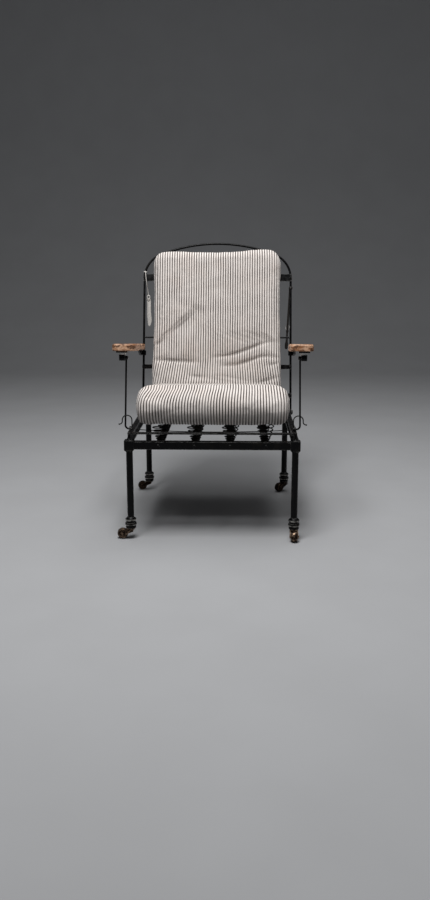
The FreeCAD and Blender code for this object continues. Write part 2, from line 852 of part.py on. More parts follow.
def arm_collar():
    """Collar round the right upright, with the headed stud that the arm's bracket turns on."""
    half = collar_length / 2
    collar = upright(rod_length - half, rod_length + half, hoop_x, 0, collar_radius)
    rims = [edge for edge in collar.Edges if edge.Curve.TypeId == "Part::GeomCircle"]
    collar = collar.makeFillet(collar_round, rims)
    stud_end = hoop_x + collar_radius + 2 * knee_side_gap + knee_thickness
    stud = across(hoop_x + collar_radius / 2, stud_end + stud_head / 2, 0, rod_length, stud_radius)
    head = across(stud_end, stud_end + stud_head, 0, rod_length, stud_head_radius)
    head = head.makeChamfer(stud_head_chamfer, end_rim(head, stud_end + stud_head))
    bore = upright(0, 2 * rod_length, hoop_x, 0, hoop_radius + seating_clearance)
    return on_back(fused([collar, stud, head]).cut(bore))


def hinge_bolt():
    """Headed bolt from the right rear casting through the hoop's eye."""
    depth, height = back_hinge
    end = hoop_x + hoop_radius + hinge_side_gap
    bolt = across(casting_outer - hinge_bolt_depth, end, depth, height, hinge_bolt_radius)
    head = across(end, end + hinge_head, depth, height, hinge_head_radius)
    head = head.makeFillet(hinge_head_round, end_rim(head, end + hinge_head))
    return fused([bolt, head])


def arm_outline():
    """Plan of the right arm, underside up to its thickness: broad in front, drawn in on its inner edge."""
    front = -arm_front_overhang
    rear = arm_hinge_along - arm_rear_gap
    outer = hoop_x + arm_outer_reach
    outer_rear = outer - arm_outer_taper
    inner = pad_half_width + arm_pad_gap
    inner_rear = outer_rear - arm_rear_width
    waist_a = front + arm_waist_start
    waist_b = front + arm_waist_end
    bow = (inner_rear - inner) * arm_waist_bow

    def waist(share, bulge):
        x = inner + (inner_rear - inner) * share
        return point(x + bulge, waist_a + (waist_b - waist_a) * share, 0)

    edges = [
        line(point(inner, front, 0), point(outer, front, 0)),
        line(point(outer, front, 0), point(outer_rear, rear, 0)),
        line(point(outer_rear, rear, 0), point(inner_rear, rear, 0)),
        line(point(inner_rear, rear, 0), waist(1, 0)),
        arc(waist(1, 0), waist(3 / 4, bow), waist(1 / 2, 0)),
        arc(waist(1 / 2, 0), waist(1 / 4, -bow), waist(0, 0)),
        line(waist(0, 0), point(inner, front, 0)),
    ]
    return Part.Face(Part.Wire(edges)), front, rear


def arm():
    face, front, rear = arm_outline()
    board = face.extrude(point(0, 0, arm_thickness))
    board = board.makeFillet(arm_front_round, edges_along(board, Z_AXIS, lambda c: abs(c.y - front) < 0.01))
    board = board.makeFillet(arm_rear_round, edges_along(board, Z_AXIS, lambda c: abs(c.y - rear) < 0.01))
    rims = [e for e in board.Edges if abs(e.BoundBox.ZMin - arm_thickness) < 0.01]
    board = board.makeFillet(arm_edge_round, rims)
    rims = [e for e in board.Edges if abs(e.BoundBox.ZMax) < 0.01]
    return board.makeFillet(arm_edge_round / 2, rims)


def arm_block():
    """Iron plate, stem, pivot block and pin under an arm's front."""
    inner = rod_x + rod_eye_width / 2 + end_play
    outer = inner + arm_block_length
    middle = (inner + outer) / 2
    half = arm_plate_half_width
    reach = arm_plate_half_length
    under_plate = -arm_plate_thickness
    under_washer = under_plate - arm_washer_thickness
    top = block(middle - half, middle + half, -reach, reach, under_plate, 0)
    top = top.makeFillet(arm_plate_round, edges_along(top, Z_AXIS, always))
    stem = upright(under_washer - join, under_plate + join, middle, 0, arm_stem_radius)
    body = block(inner, outer, -arm_block_radius, arm_block_radius, -arm_above_pivot, under_washer)
    barrel = across(inner, outer, 0, -arm_above_pivot, arm_block_radius)
    pin_end = rod_x - rod_eye_width / 2 - end_play
    pin = across(inner + join, pin_end - join, 0, -arm_above_pivot, pivot_pin_radius)
    head = across(pin_end, pin_end - pivot_head, 0, -arm_above_pivot, pivot_head_radius)
    return fused([top, stem, body, barrel, pin, head]), middle


def arm_knee():
    """Curved iron bracket from the arm's underside to the stud on the upright."""
    start = hoop_x + collar_radius + knee_side_gap
    end = start + knee_thickness
    eye_y = arm_hinge_along
    eye_z = arm_hinge_below
    rear = eye_y - arm_rear_gap - knee_rear_gap
    front = rear - knee_flange_length
    under = -knee_flange_thickness
    upper_front = point(start, front + knee_web_inset, under / 2)
    upper_rear = point(start, eye_y, under / 2)
    low_rear = point(start, eye_y, eye_z - knee_eye_radius)
    hollow = point(start, rear - knee_hollow_along, eye_z - knee_hollow_below)
    edges = [line(upper_front, upper_rear), line(upper_rear, low_rear), arc(low_rear, hollow, upper_front)]
    web = Part.Face(Part.Wire(edges)).extrude(point(knee_thickness, 0, 0))
    eye = across(start, end, eye_y, eye_z, knee_eye_radius)
    half = knee_flange_width / 2
    centre = (start + end) / 2
    flange = block(centre - half, centre + half, front, rear, under, 0)
    corners = edges_along(flange, Z_AXIS, lambda middle: abs(middle.y - front) < 0.01)
    flange = flange.makeFillet(knee_flange_round, corners)
    hole = across(start - cut_past, end + cut_past, eye_y, eye_z, stud_radius + running_clearance)
    return fused([web, eye, flange]).cut(hole)


def arm_rod():
    """Support rod: its foot turns inward through the lug, its head is an eye for the arm's pin."""
    lug_inner = border_outer - lug_edge_gap - lug_thickness
    inner_end = lug_inner - end_play - rivet_over
    turn = rod_bend_radius
    tube = swept([
        line(point(inner_end, 0, 0), point(rod_x - turn, 0, 0)),
        rounded(point(rod_x - turn, 0, 0), point(rod_x, 0, 0), point(rod_x, 0, turn)),
        line(point(rod_x, 0, turn), point(rod_x, 0, rod_length - pivot_pin_radius)),
    ], rod_diameter / 2)
    half = rod_eye_width / 2
    eye = across(rod_x - half, rod_x + half, 0, rod_length, rod_eye_radius)
    head = across(inner_end, inner_end + rivet_over, 0, 0, rivet_over_radius)
    bore = pivot_pin_radius + running_clearance
    hole = across(rod_x - half - cut_past, rod_x + half + cut_past, 0, rod_length, bore)
    rod = fused([tube, eye, head]).cut(hole)
    rod.rotate(ORIGIN, X_AXIS, -back_lean)
    rod.translate(point(0, rod_foot[0], rod_foot[1]))
    return rod


def rod_lug():
    """Upright lug on the border bar that carries the rod's turned foot."""
    outer = border_outer - lug_edge_gap
    inner = outer - lug_thickness
    depth, height = rod_foot
    reach = lug_radius + cut_past
    cheek = across(inner, outer, depth, height, lug_radius)
    base = block(inner, outer, depth - lug_radius, depth + lug_radius, border_top, height)
    room = block(inner - cut_past, outer + cut_past, depth - reach, depth + reach, height - reach, border_top)
    hole = across(inner - cut_past, outer + cut_past, depth, height, rod_diameter / 2 + running_clearance)
    return fused([cheek, base]).cut(room).cut(hole)


def rod_catch():
    """Bent wire catch: it turns on its upright foot, arches in front of the rod and ends in a thumb tail."""
    def at(x, z):
        return point(x, catch_y, z)

    foot = border_bottom - end_play - catch_head
    springing = border_top + catch_arch_height
    centre = catch_x + catch_arch_radius
    outer = centre + catch_arch_radius
    low = springing - catch_drop
    tip_x = outer + catch_tail_radius
    tip_z = low - catch_tail_radius
    edges = [
        line(at(catch_x, foot), at(catch_x, springing)),
        rounded(at(catch_x, springing), at(catch_x, catch_crest), at(centre, catch_crest)),
        rounded(at(centre, catch_crest), at(outer, catch_crest), at(outer, springing)),
        line(at(outer, springing), at(outer, low)),
        rounded(at(outer, low), at(outer, tip_z), at(tip_x, tip_z)),
    ]
    wire = swept(edges, catch_wire / 2)
    tip = Part.makeSphere(catch_wire / 2 + catch_tip_swell, at(tip_x, tip_z))
    head = upright(foot, foot + catch_head, catch_x, catch_y, catch_head_radius)
    return fused([wire, tip, head])


def arms():
    board = on_arm(arm())
    iron, middle = arm_block()
    high = -arm_plate_thickness
    low = high - arm_washer_thickness
    washer = upright(low, high, middle, 0, arm_washer_radius)
    bore = arm_stem_radius + seating_clearance
    washer = washer.cut(upright(low - cut_past, high + cut_past, middle, 0, bore))
    pieces = {
        "arm": board,
        "arm_block": on_arm(iron),
        "arm_washer": on_arm(washer),
        "arm_knee": on_arm(arm_knee()),
        "arm_rod": arm_rod(),
        "catch": rod_catch(),
    }
    for name, shape in pieces.items():
        save("right_" + name, shape)
        save("left_" + name, mirrored(shape))
    save("rod_lugs", both_sides(rod_lug()))


def fork():
    """Caster fork on the origin's axis, trailing towards -Y: stem, disc, neck and two cheeks."""
    top = foot_height - end_play
    disc_low = top - fork_disc_height
    neck_high = disc_low + join
    neck_low = disc_low - fork_neck_height
    neck_front = wheel_radius + fork_wheel_gap - caster_trail
    inner = wheel_width / 2 + fork_side_gap
    outer = inner + fork_cheek
    eye = axle_radius + fork_eye_wall
    step = fork_cheek_step

    def on_eye(x, degrees):
        angle = math.radians(degrees)
        return point(x, eye * math.cos(angle) - caster_trail, eye * math.sin(angle) + wheel_radius)

    stem = upright(disc_low, top + stem_length, 0, 0, stem_radius)
    disc = upright(disc_low, top, 0, 0, fork_disc_radius)
    neck = block(-outer, outer, neck_front, fork_neck_rear, neck_low, neck_high)
    shapes = [stem, disc, neck]
    for side in (-1, 1):
        x = side * inner
        corners = [
            point(x, fork_neck_rear, neck_high),
            point(x, neck_front - step, neck_high),
            on_eye(x, fork_cheek_upper),
            on_eye(x, fork_cheek_lower),
            point(x, 0, neck_low - step),
            point(x, fork_neck_rear, neck_low + step),
        ]
        shapes.append(plate(corners, point(side * fork_cheek, 0, 0)))
        shapes.append(across(x, side * outer, -caster_trail, wheel_radius, eye))
    bore = axle_radius + seating_clearance
    hole = across(-outer - cut_past, outer + cut_past, -caster_trail, wheel_radius, bore)
    return fused(shapes).cut(hole)


def wheel():
    """Crowned wheel on its axle's line, dished between hub and rim."""
    def at(x, radius):
        return point(x, -caster_trail, wheel_radius + radius)

    half = wheel_width / 2
    web = half - wheel_dish
    rim = half - wheel_rim_step
    edge = wheel_radius - wheel_edge_round
    hub = axle_radius + wheel_hub_wall
    side = [
        (half, axle_radius + running_clearance),
        (half, hub),
        (web, hub + wheel_slope),
        (web, wheel_web_radius),
        (rim, wheel_web_radius + wheel_slope),
        (rim, edge),
    ]
    profile = [arc(at(rim, edge), at(0, wheel_radius), at(-rim, edge))]
    for (x, radius), (next_x, next_radius) in zip(side, side[1:]):
        profile.append(line(at(x, radius), at(next_x, next_radius)))
        profile.append(line(at(-x, radius), at(-next_x, next_radius)))
    bore_x, bore = side[0]
    profile.append(line(at(-bore_x, bore), at(bore_x, bore)))
    return turned(profile, point(0, -caster_trail, wheel_radius), X_AXIS)


def axle():
    """Pin through the cheeks and the wheel, with a domed head at each end."""
    reach = wheel_width / 2 + fork_side_gap + fork_cheek
    end = reach + axle_head
    shapes = [across(-reach, reach, -caster_trail, wheel_radius, axle_radius)]
    for side in (-1, 1):
        head_radius = axle_radius + axle_head_spread
        head = across(side * reach, side * end, -caster_trail, wheel_radius, head_radius)
        shapes.append(head.makeFillet(axle_head_round, end_rim(head, side * end)))
    return fused(shapes)


def casters():
    pieces = {"fork": fork(), "wheel": wheel(), "axle": axle()}
    for name, side, depth in corner_places():
        for piece, shape in pieces.items():
            placed = shape.copy()
            placed.rotate(ORIGIN, Z_AXIS, -caster_headings[name])
            placed.translate(point(side * leg_half_span, depth, 0))
            save(name + "_caster_" + piece, placed)


def seat_section(x, inset):
    """Side outline of the folded seat pad at one place across it, drawn in all round."""
    def at(y, z):
        return point(x, y, z)

    face = back_pad_front + pad_joint_gap + inset

    def rear_at(z):
        return back_hinge[0] + (z - back_hinge[1]) * math.tan(lean) - face / math.cos(lean)

    low = spring_top + seat_pad_gap + inset * seat_foot_draw
    crest = border_top + seat_crest_above_border - inset
    top = border_top + seat_rear_above_border - inset
    nose = seat_nose_behind_axis + inset
    nose_z = (low + crest) / 2 + seat_nose_lift
    foot = nose + (nose_z - low) * seat_foot_slope
    rear_low = low + seat_rear_foot_round - inset * seat_rear_draw
    rear_high = top - seat_rear_top_round + inset * seat_rear_draw
    foot_rear = at(rear_at(low) - seat_rear_foot_run, low)
    face_low = at(rear_at(rear_low), rear_low)
    face_high = at(rear_at(rear_high), rear_high)
    top_rear = at(rear_at(rear_high) - seat_rear_top_run, top)
    top_front = at(seat_crest_behind_axis, crest)
    nose_tip = at(nose, nose_z)
    foot_front = at(foot, low)
    edges = [
        line(foot_front, foot_rear),
        rounded(foot_rear, at(rear_at(low), low), face_low),
        line(face_low, face_high),
        rounded(face_high, at(rear_at(rear_high), top), top_rear),
        line(top_rear, top_front),
        rounded(top_front, at(nose, crest), nose_tip),
        rounded(nose_tip, at(nose, low), foot_front),
    ]
    return Part.Wire(edges)


def back_section(x, inset, top):
    """Side outline of the back pad at one place across it, on an upright back."""
    def at(y, z):
        return point(x, y, z)

    rear = -(back_pad_rear + inset * back_pad_rear_draw)
    front = -(back_pad_front - inset)
    middle = (rear + front) / 2
    foot = back_pad_foot + inset * back_pad_foot_draw
    high = top - back_pad_edge_radius
    low = foot + back_pad_edge_radius
    edges = [
        line(at(rear, low), at(rear, high)),
        rounded(at(rear, high), at(rear, top), at(middle, top)),
        rounded(at(middle, top), at(front, top), at(front, high)),
        line(at(front, high), at(front, low)),
        rounded(at(front, low), at(front, foot), at(middle, foot)),
        rounded(at(middle, foot), at(rear, foot), at(rear, low)),
    ]
    return Part.Wire(edges)


def rounding(distance, radius):
    """How far a rounded edge has drawn in, at a distance from the end."""
    if distance >= radius:
        return 0.0
    return radius - math.sqrt(radius ** 2 - (radius - distance) ** 2)


def pad_stations(radius):
    """Places across a pad, closer together where its ends round off."""
    half = pad_half_width
    turns = [math.radians(angle) for angle in pad_edge_angles]
    outer = [half - radius * (1 - math.cos(angle)) for angle in turns]
    inner = [half * share for share in pad_inner_stations]
    right = [half] + outer + inner
    return [-x for x in right] + [0.0] + list(reversed(right))


def pads():
    """Folded seat pad and back pad: crowned across, with drawn-in sides and a dipped top edge."""
    half = pad_half_width

    def inset(x, radius):
        return rounding(half - abs(x), radius) * pad_side_fullness + pad_crown * (x / half) ** 2

    def top(x):
        share = min(1.0, abs(x) / (half - back_pad_shoulder_inset))
        dip = back_pad_dip * (1 + math.cos(math.pi * share)) / 2
        return back_pad_top - dip - rounding(half - abs(x), back_pad_corner_radius)

    seat_places = pad_stations(seat_pad_side_radius)
    sections = [seat_section(x, inset(x, seat_pad_side_radius)) for x in seat_places]
    seat = Part.makeLoft(sections, True, True)
    save("seat_pad", seat)
    back_places = pad_stations(back_pad_corner_radius)
    sections = [back_section(x, inset(x, back_pad_side_radius), top(x)) for x in back_places]
    back = Part.makeLoft(sections, True, True)
    save("back_pad", on_back(back))
    for name, shape in (("seat pad", seat), ("back pad", back)):
        box = shape.BoundBox
        print("%s: %.1f by %.1f by %.1f mm" % (name, box.XLength, box.YLength, box.ZLength))


def place_on_upright(height):
    """Depth and height above the floor of a point on an upright's axis."""
    return back_hinge[0] + height * math.sin(lean), back_hinge[1] + height * math.cos(lean)


def hoop_side(height):
    """Distance from the middle to the hoop's side at a height along the back, and its inward tilt."""
    above = max(0.0, height - shoulder_height())
    tilt = math.asin(above / hoop_shoulder_radius)
    return hoop_x - hoop_shoulder_radius * (1 - math.cos(tilt)), math.degrees(tilt)


def tie_ring(height, wall, length):
    """Turns of tape round the hoop's side, and the bore they leave for it."""
    side, tilt = hoop_side(height)
    outer = upright(-length / 2, length / 2, 0, 0, hoop_radius + wall)
    bore = upright(-length, length, 0, 0, hoop_radius + ring_clearance)
    placed = []
    for shape in (outer, bore):
        shape.rotate(ORIGIN, Y_AXIS, -tilt)
        placed.append(on_back(shape.translated(point(side, 0, height))))
    return placed


def hanging_band(x0, x1, y, z0, z1, width, thickness):
    """Flat band hanging from one height to another, drifting across as it goes down."""
    corners = [
        point(x0 - width / 2, y, z0),
        point(x0 + width / 2, y, z0),
        point(x1 + width / 2, y, z1),
        point(x1 - width / 2, y, z1),
    ]
    return plate(corners, point(0, thickness, 0))


def buckle(x, y, z):
    """Square wire buckle with one prong, behind the strap."""
    half_width = buckle_width / 2
    half_height = buckle_height / 2
    wire = buckle_wire
    frame = block(x - half_width, x + half_width, y, y + wire, z - half_height, z + half_height)
    frame = frame.makeFillet(buckle_round, edges_along(frame, Y_AXIS, always))
    inner_width = half_width - wire
    inner_height = half_height - wire
    inside = block(
        x - inner_width, x + inner_width, y - cut_past, y + wire + cut_past,
        z - inner_height, z + inner_height,
    )
    prong = upright(z - half_height, z + half_height, x, y + wire / 2, buckle_prong_radius)
    return fused([frame.cut(inside), prong])


def straps():
    """Cotton tape on the left upright, leather strap and buckle on the right one."""
    ring, bore = tie_ring(tape_tie_height, tape_thickness, tape_ring_length)
    side, _ = hoop_side(tape_tie_height)
    depth, height = place_on_upright(tape_tie_height)
    y = depth + hoop_radius
    neck_low = height - tape_neck_length
    neck_x = side - tape_neck_drift
    neck = hanging_band(side, neck_x, y, height, neck_low, tape_neck_width, tape_thickness)
    tail = hanging_band(
        neck_x, neck_x - tape_drift, y, neck_low + tape_neck_width, neck_low - tape_length,
        tape_width, tape_thickness,
    )
    save("cotton_tape", mirrored(fused([ring, neck, tail]).cut(bore)))
    ring, bore = tie_ring(strap_tie_height, strap_loop_wall, strap_width)
    depth, height = place_on_upright(strap_tie_height)
    y = depth + hoop_radius + strap_loop_wall - strap_thickness
    low = height - strap_length
    strap_x = hoop_x - strap_inset
    band = hanging_band(strap_x, strap_x - strap_drift, y, height, low, strap_width, strap_thickness)
    tab_x = strap_x - strap_drift * (1 - strap_tab_length / strap_length)
    tab = hanging_band(
        tab_x, strap_x - strap_drift, y, low + strap_tab_length, low, strap_tab_width, strap_thickness,
    )
    save("leather_strap", fused([ring, band, tab]).cut(bore))
    buckle_x = strap_x - strap_drift * buckle_below_tie / strap_length
    behind = y + strap_thickness + buckle_gap
    save("strap_buckle", buckle(buckle_x, behind, height - buckle_below_tie))


def main():
    os.makedirs("parts", exist_ok=True)
    seat_frame()
    seat_laths(border_frame())
    seat_springs()
    back_frame()
    save("arm_collars", both_sides(arm_collar()))
    save("hinge_bolts", both_sides(hinge_bolt()))
    arms()
    casters()
    pads()
    straps()


if __name__ == "__main__":
    main()
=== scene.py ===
import json
import math

import bpy
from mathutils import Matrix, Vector, kdtree, noise


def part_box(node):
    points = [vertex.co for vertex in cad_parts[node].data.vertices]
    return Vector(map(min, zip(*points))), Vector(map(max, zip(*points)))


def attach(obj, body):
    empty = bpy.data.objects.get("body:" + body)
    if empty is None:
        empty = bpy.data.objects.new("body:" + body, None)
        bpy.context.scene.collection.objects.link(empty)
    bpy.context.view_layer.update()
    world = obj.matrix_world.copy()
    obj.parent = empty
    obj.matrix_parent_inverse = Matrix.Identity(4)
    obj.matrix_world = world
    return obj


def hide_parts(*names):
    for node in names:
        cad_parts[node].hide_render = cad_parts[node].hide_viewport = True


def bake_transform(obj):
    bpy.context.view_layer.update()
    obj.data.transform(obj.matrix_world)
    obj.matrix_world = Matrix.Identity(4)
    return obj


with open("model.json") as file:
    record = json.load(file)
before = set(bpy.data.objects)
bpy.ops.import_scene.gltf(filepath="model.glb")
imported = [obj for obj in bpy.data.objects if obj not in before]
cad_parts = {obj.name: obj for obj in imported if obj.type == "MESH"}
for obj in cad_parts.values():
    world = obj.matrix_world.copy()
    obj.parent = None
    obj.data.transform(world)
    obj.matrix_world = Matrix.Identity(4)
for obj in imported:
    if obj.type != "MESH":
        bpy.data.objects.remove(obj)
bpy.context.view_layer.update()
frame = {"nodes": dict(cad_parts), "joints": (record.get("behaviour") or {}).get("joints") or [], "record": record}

bl_info = {
    "name": "Campaign chair",
    "version": (1, 0, 0),
    "blender": (4, 5, 0),
    "location": "View3D > Sidebar > Chair",
    "description": "Finishes, mattress and ties of an iron campaign chair, made round its packed frame",
    "category": "Object",
}

# Places taken from the frame
NODES = frame["nodes"]
JOINTS = {joint["name"]: joint for joint in frame["joints"]}
SLOT_OF = {row["node"]: row["material_slot"] for row in frame["record"]["subparts"]}
HINGE = Vector(JOINTS["back_recline"]["pos_m"])
ARM_PIVOT = Vector(JOINTS["left_arm_level"]["pos_m"])
LEAN = math.atan2(ARM_PIVOT.y - HINGE.y, ARM_PIVOT.z - HINGE.z)
BACK_UP = Vector((0, math.sin(LEAN), math.cos(LEAN)))
BACK_FRONT = Vector((0, -math.cos(LEAN), math.sin(LEAN)))
SEAT_LOW, SEAT_HIGH = (Vector(corner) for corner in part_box("seat_pad"))
PAD_SIDE = SEAT_HIGH.x
STRIPE_MAP = "stripe_across"
CREASE_MAP = "crease"
FLOOR_Z = 0.0
MERGE_DISTANCE = 1e-5

# How creases are pressed: step along their line, reach in half widths, and how their ends fade
LINE_STEP = 0.003
CREASE_REACH = 2.4
CREASE_FADE = 0.6
# Creases are held while the mattress fills: from that share of their depth, and how firmly
HOLD_FROM, HOLD_GAIN = 0.3, 1.3
# Filling by cloth simulation
FILL_FRAMES, FILL_QUALITY, FILL_PRESSURE = 20, 4, 4.0
# Lumps of stuffing: how fine the two noises are, and the share of the finer
BROAD_LUMPS, FINE_LUMPS, FINE_SHARE = 14.0, 45.0, 0.4
# Where the stripes start to run round the sides: in from the side, and half width of that line
RIM_INSET, RIM_BAND = 0.012, 0.004


def length_property(name, description, default):
    return bpy.props.FloatProperty(
        name=name, description=description, default=default, unit="LENGTH", subtype="DISTANCE",
    )


def pair_property(name, description, default):
    return bpy.props.FloatVectorProperty(
        name=name, description=description, default=default, size=2, unit="LENGTH", subtype="TRANSLATION",
    )


def angle_property(name, description, degrees):
    return bpy.props.FloatProperty(
        name=name, description=description, default=math.radians(degrees), unit="ROTATION", subtype="ANGLE",
    )


def colour_property(name, description, default):
    return bpy.props.FloatVectorProperty(
        name=name, description=description, default=default, size=3, min=0.0, max=1.0, subtype="COLOR",
    )


class ChairSizes(bpy.types.PropertyGroup):
    """Sizes of the soft pieces, the ties, the feet's rings with their bands of rubbed metal and painted highlight,
    and the camera's place.
    """

    stripe_pitch: length_property("Stripe pitch", "From one dark stripe of the ticking to the next", 0.0102)
    dark_share: bpy.props.FloatProperty(
        name="Dark share", description="Share of the pitch that a dark stripe takes",
        default=0.46, min=0.0, max=1.0, subtype="FACTOR",
    )
    thread: length_property("Thread", "From one thread of the weave to the next", 0.0011)
    voxel: length_property("Voxel", "Mesh size of the mattress before it is filled", 0.005)
    swell_limit: length_property(
        "Swell limit", "Furthest that filling may move a point of the mattress", 0.007,
    )
    plump: length_property(
        "Plump", "How much fuller than the frame's pad the filled mattress is at its sides", 0.007,
    )
    fold_depth: length_property("Fold depth", "Depth of the crease between the seat's two layers", 0.020)
    fold_width: length_property("Fold width", "Half width of that crease", 0.011)
    ripple: length_property("Ripple", "Height of the stuffing's lumps", 0.0022)
    # The feet's bright ring bands are partly rubbed metal and partly painted highlight
    foot_rings: pair_property(
        "Foot rings", "Heights at which the two rings of the turned feet are rubbed bright", (0.0520, 0.0700),
    )
    ring_band: length_property("Ring band", "Half height of a bright band on those rings", 0.0042)
    hoop_radius: length_property("Hoop radius", "Radius of the back's round iron hoop", 0.00475)
    tie_clearance: length_property("Tie clearance", "From the hoop to what is tied round it", 0.0003)
    tape_tie: pair_property(
        "Tape's tie", "Where the tape is tied: across, and up along the back from the hinge",
        (-0.3099, 0.602),
    )
    tape_tilt: angle_property("Tape's tilt", "How far the hoop leans in where the tape is tied", 13.58)
    tape_drop: length_property("Tape drop", "From the tie down to the tape's knot", 0.107)
    tape_tail: length_property("Tape tail", "From the knot down to the tape's end", 0.113)
    tape_drift: length_property("Tape drift", "How far the tape hangs in from its tie", 0.011)
    tape_width: length_property("Tape width", "Width of the cotton tape's doubled tail", 0.013)
    tape_neck: length_property("Tape neck", "Width of the tape where it is drawn to a string", 0.0034)
    tape_thickness: length_property("Tape thickness", "Thickness of one layer of the tape", 0.0012)
    strap_tie: pair_property(
        "Strap's tie", "Where the strap is tied: across, and up along the back from the hinge",
        (0.313, 0.533),
    )
    strap_length: length_property("Strap length", "From the strap's tie down to its end", 0.262)
    strap_tab: pair_property("Strap tab", "Width and length of the broad end of the strap", (0.014, 0.030))
    strap_drift: length_property("Strap drift", "How far the strap hangs in from its tie", 0.012)
    strap_width: length_property("Strap width", "Width of the leather strap", 0.009)
    strap_thickness: length_property("Strap thickness", "Thickness of the leather strap", 0.0028)
    strap_hole: length_property("Strap hole", "Diameter of the strap's holes", 0.0028)
    camera_place: bpy.props.FloatVectorProperty(
        name="Camera", description="Where the camera stands",
        default=(0.083, -3.319, 0.982), subtype="TRANSLATION", unit="LENGTH",
    )
    camera_tilt: angle_property("Camera tilt", "How far the camera looks down", 12.735)
    camera_turn: angle_property("Camera turn", "How far the camera looks to its left", 1.44)
    camera_lens: bpy.props.FloatProperty(
        name="Lens", description="Focal length in millimetres, for a 36 mm picture height",
        default=34.16,
    )


class ChairColours(bpy.types.PropertyGroup):
    """Colours of the chair's finishes and of the studio."""

    iron: colour_property("Iron", "Old black paint on the iron", (0.0020, 0.0020, 0.0023))
    iron_brown: colour_property(
        "Thin paint", "Patches where the black paint is thin", (0.0062, 0.0053, 0.0047),
    )
    # Pale edges: bare metal where the paint is rubbed off, and also painted highlight along the edges
    iron_wear_and_highlight: colour_property("Worn iron", "Edges rubbed down to the metal", (0.210, 0.205, 0.198))
    # Bright ring bands: partly rubbed metal, partly painted highlight
    ring: colour_property("Foot rings", "Rubbed bands of the turned feet", (0.330, 0.320, 0.300))
    rust: colour_property("Rust", "Rusty patches of the springs", (0.018, 0.011, 0.008))
    wood: colour_property("Wood", "Main colour of the arms", (0.300, 0.128, 0.056))
    wood_pale: colour_property("Pale wood", "Rubbed and bleached parts of the arms", (0.640, 0.395, 0.255))
    # Also the colour of the painted shade on the arms' upward faces
    wood_dark: colour_property("Dark wood", "Pores, knots and stains of the arms", (0.078, 0.035, 0.018))
    brass: colour_property("Brass", "Rubbed brass of the casters", (0.290, 0.204, 0.142))
    tarnish: colour_property("Tarnish", "Brown tarnish of the casters", (0.020, 0.013, 0.010))
    steel: colour_property("Steel", "Bright washers and buckle", (0.820, 0.810, 0.790))
    ticking_light: colour_property(
        "Light stripe", "Unbleached light stripe of the ticking", (0.780, 0.724, 0.686),
    )
    # Also the colour of the painted shade in the mattress's creases
    ticking_dark: colour_property("Dark stripe", "Dark stripe of the ticking", (0.070, 0.058, 0.052))
    cotton: colour_property("Cotton", "White cotton tape", (0.760, 0.750, 0.720))
    leather: colour_property("Leather", "Dark old leather", (0.011, 0.009, 0.008))
    leather_worn: colour_property("Worn leather", "Rubbed leather", (0.050, 0.034, 0.024))
    floor: colour_property("Floor", "Plain pale floor and backdrop", (0.370, 0.374, 0.384))


def sizes():
    return bpy.context.scene.chair_sizes


def colours():
    return bpy.context.scene.chair_colours


# Selecting and shaping

def only(piece):
    """Select one piece and make it active."""
    bpy.ops.object.select_all(action="DESELECT")
    piece.select_set(True)
    bpy.context.view_layer.objects.active = piece


def settle(piece):
    """Put a piece's place, turn and scale into its mesh."""
    only(piece)
    bpy.ops.object.transform_apply(location=True, rotation=True, scale=True)


def finish_with(piece, kind, **settings):
    """Add a modifier and apply it."""
    only(piece)
    bpy.ops.object.modifier_add(type=kind)
    modifier = piece.modifiers[-1]
    for name, value in settings.items():
        setattr(modifier, name, value)
    bpy.ops.object.modifier_apply(modifier=modifier.name)


def smooth(piece, degrees=40):
    only(piece)
    bpy.ops.object.shade_smooth_by_angle(angle=math.radians(degrees))


def joined(name, pieces):
    """Several shapes as one named piece."""
    bpy.ops.object.select_all(action="DESELECT")
    for piece in pieces:
        piece.select_set(True)
    bpy.context.view_layer.objects.active = pieces[0]
    if len(pieces) > 1:
        bpy.ops.object.join()
    whole = bpy.context.object
    whole.name = name
    whole.data.name = name
    settle(whole)
    return whole


def dress(piece, material):
    """Give a piece one material."""
    piece.data.materials.clear()
    piece.data.materials.append(material)


def on_back(x, height, front):
    """Point on the leaning back: across, up along it from the hinge, and in front of the hoop."""
    return Vector((x, HINGE.y, HINGE.z)) + BACK_UP * height + BACK_FRONT * front


def back_place(co):
    """Height along the back and distance in front of the hoop of a point."""
    reach = co - HINGE
    return reach.dot(BACK_UP), reach.dot(BACK_FRONT)


# Finishes

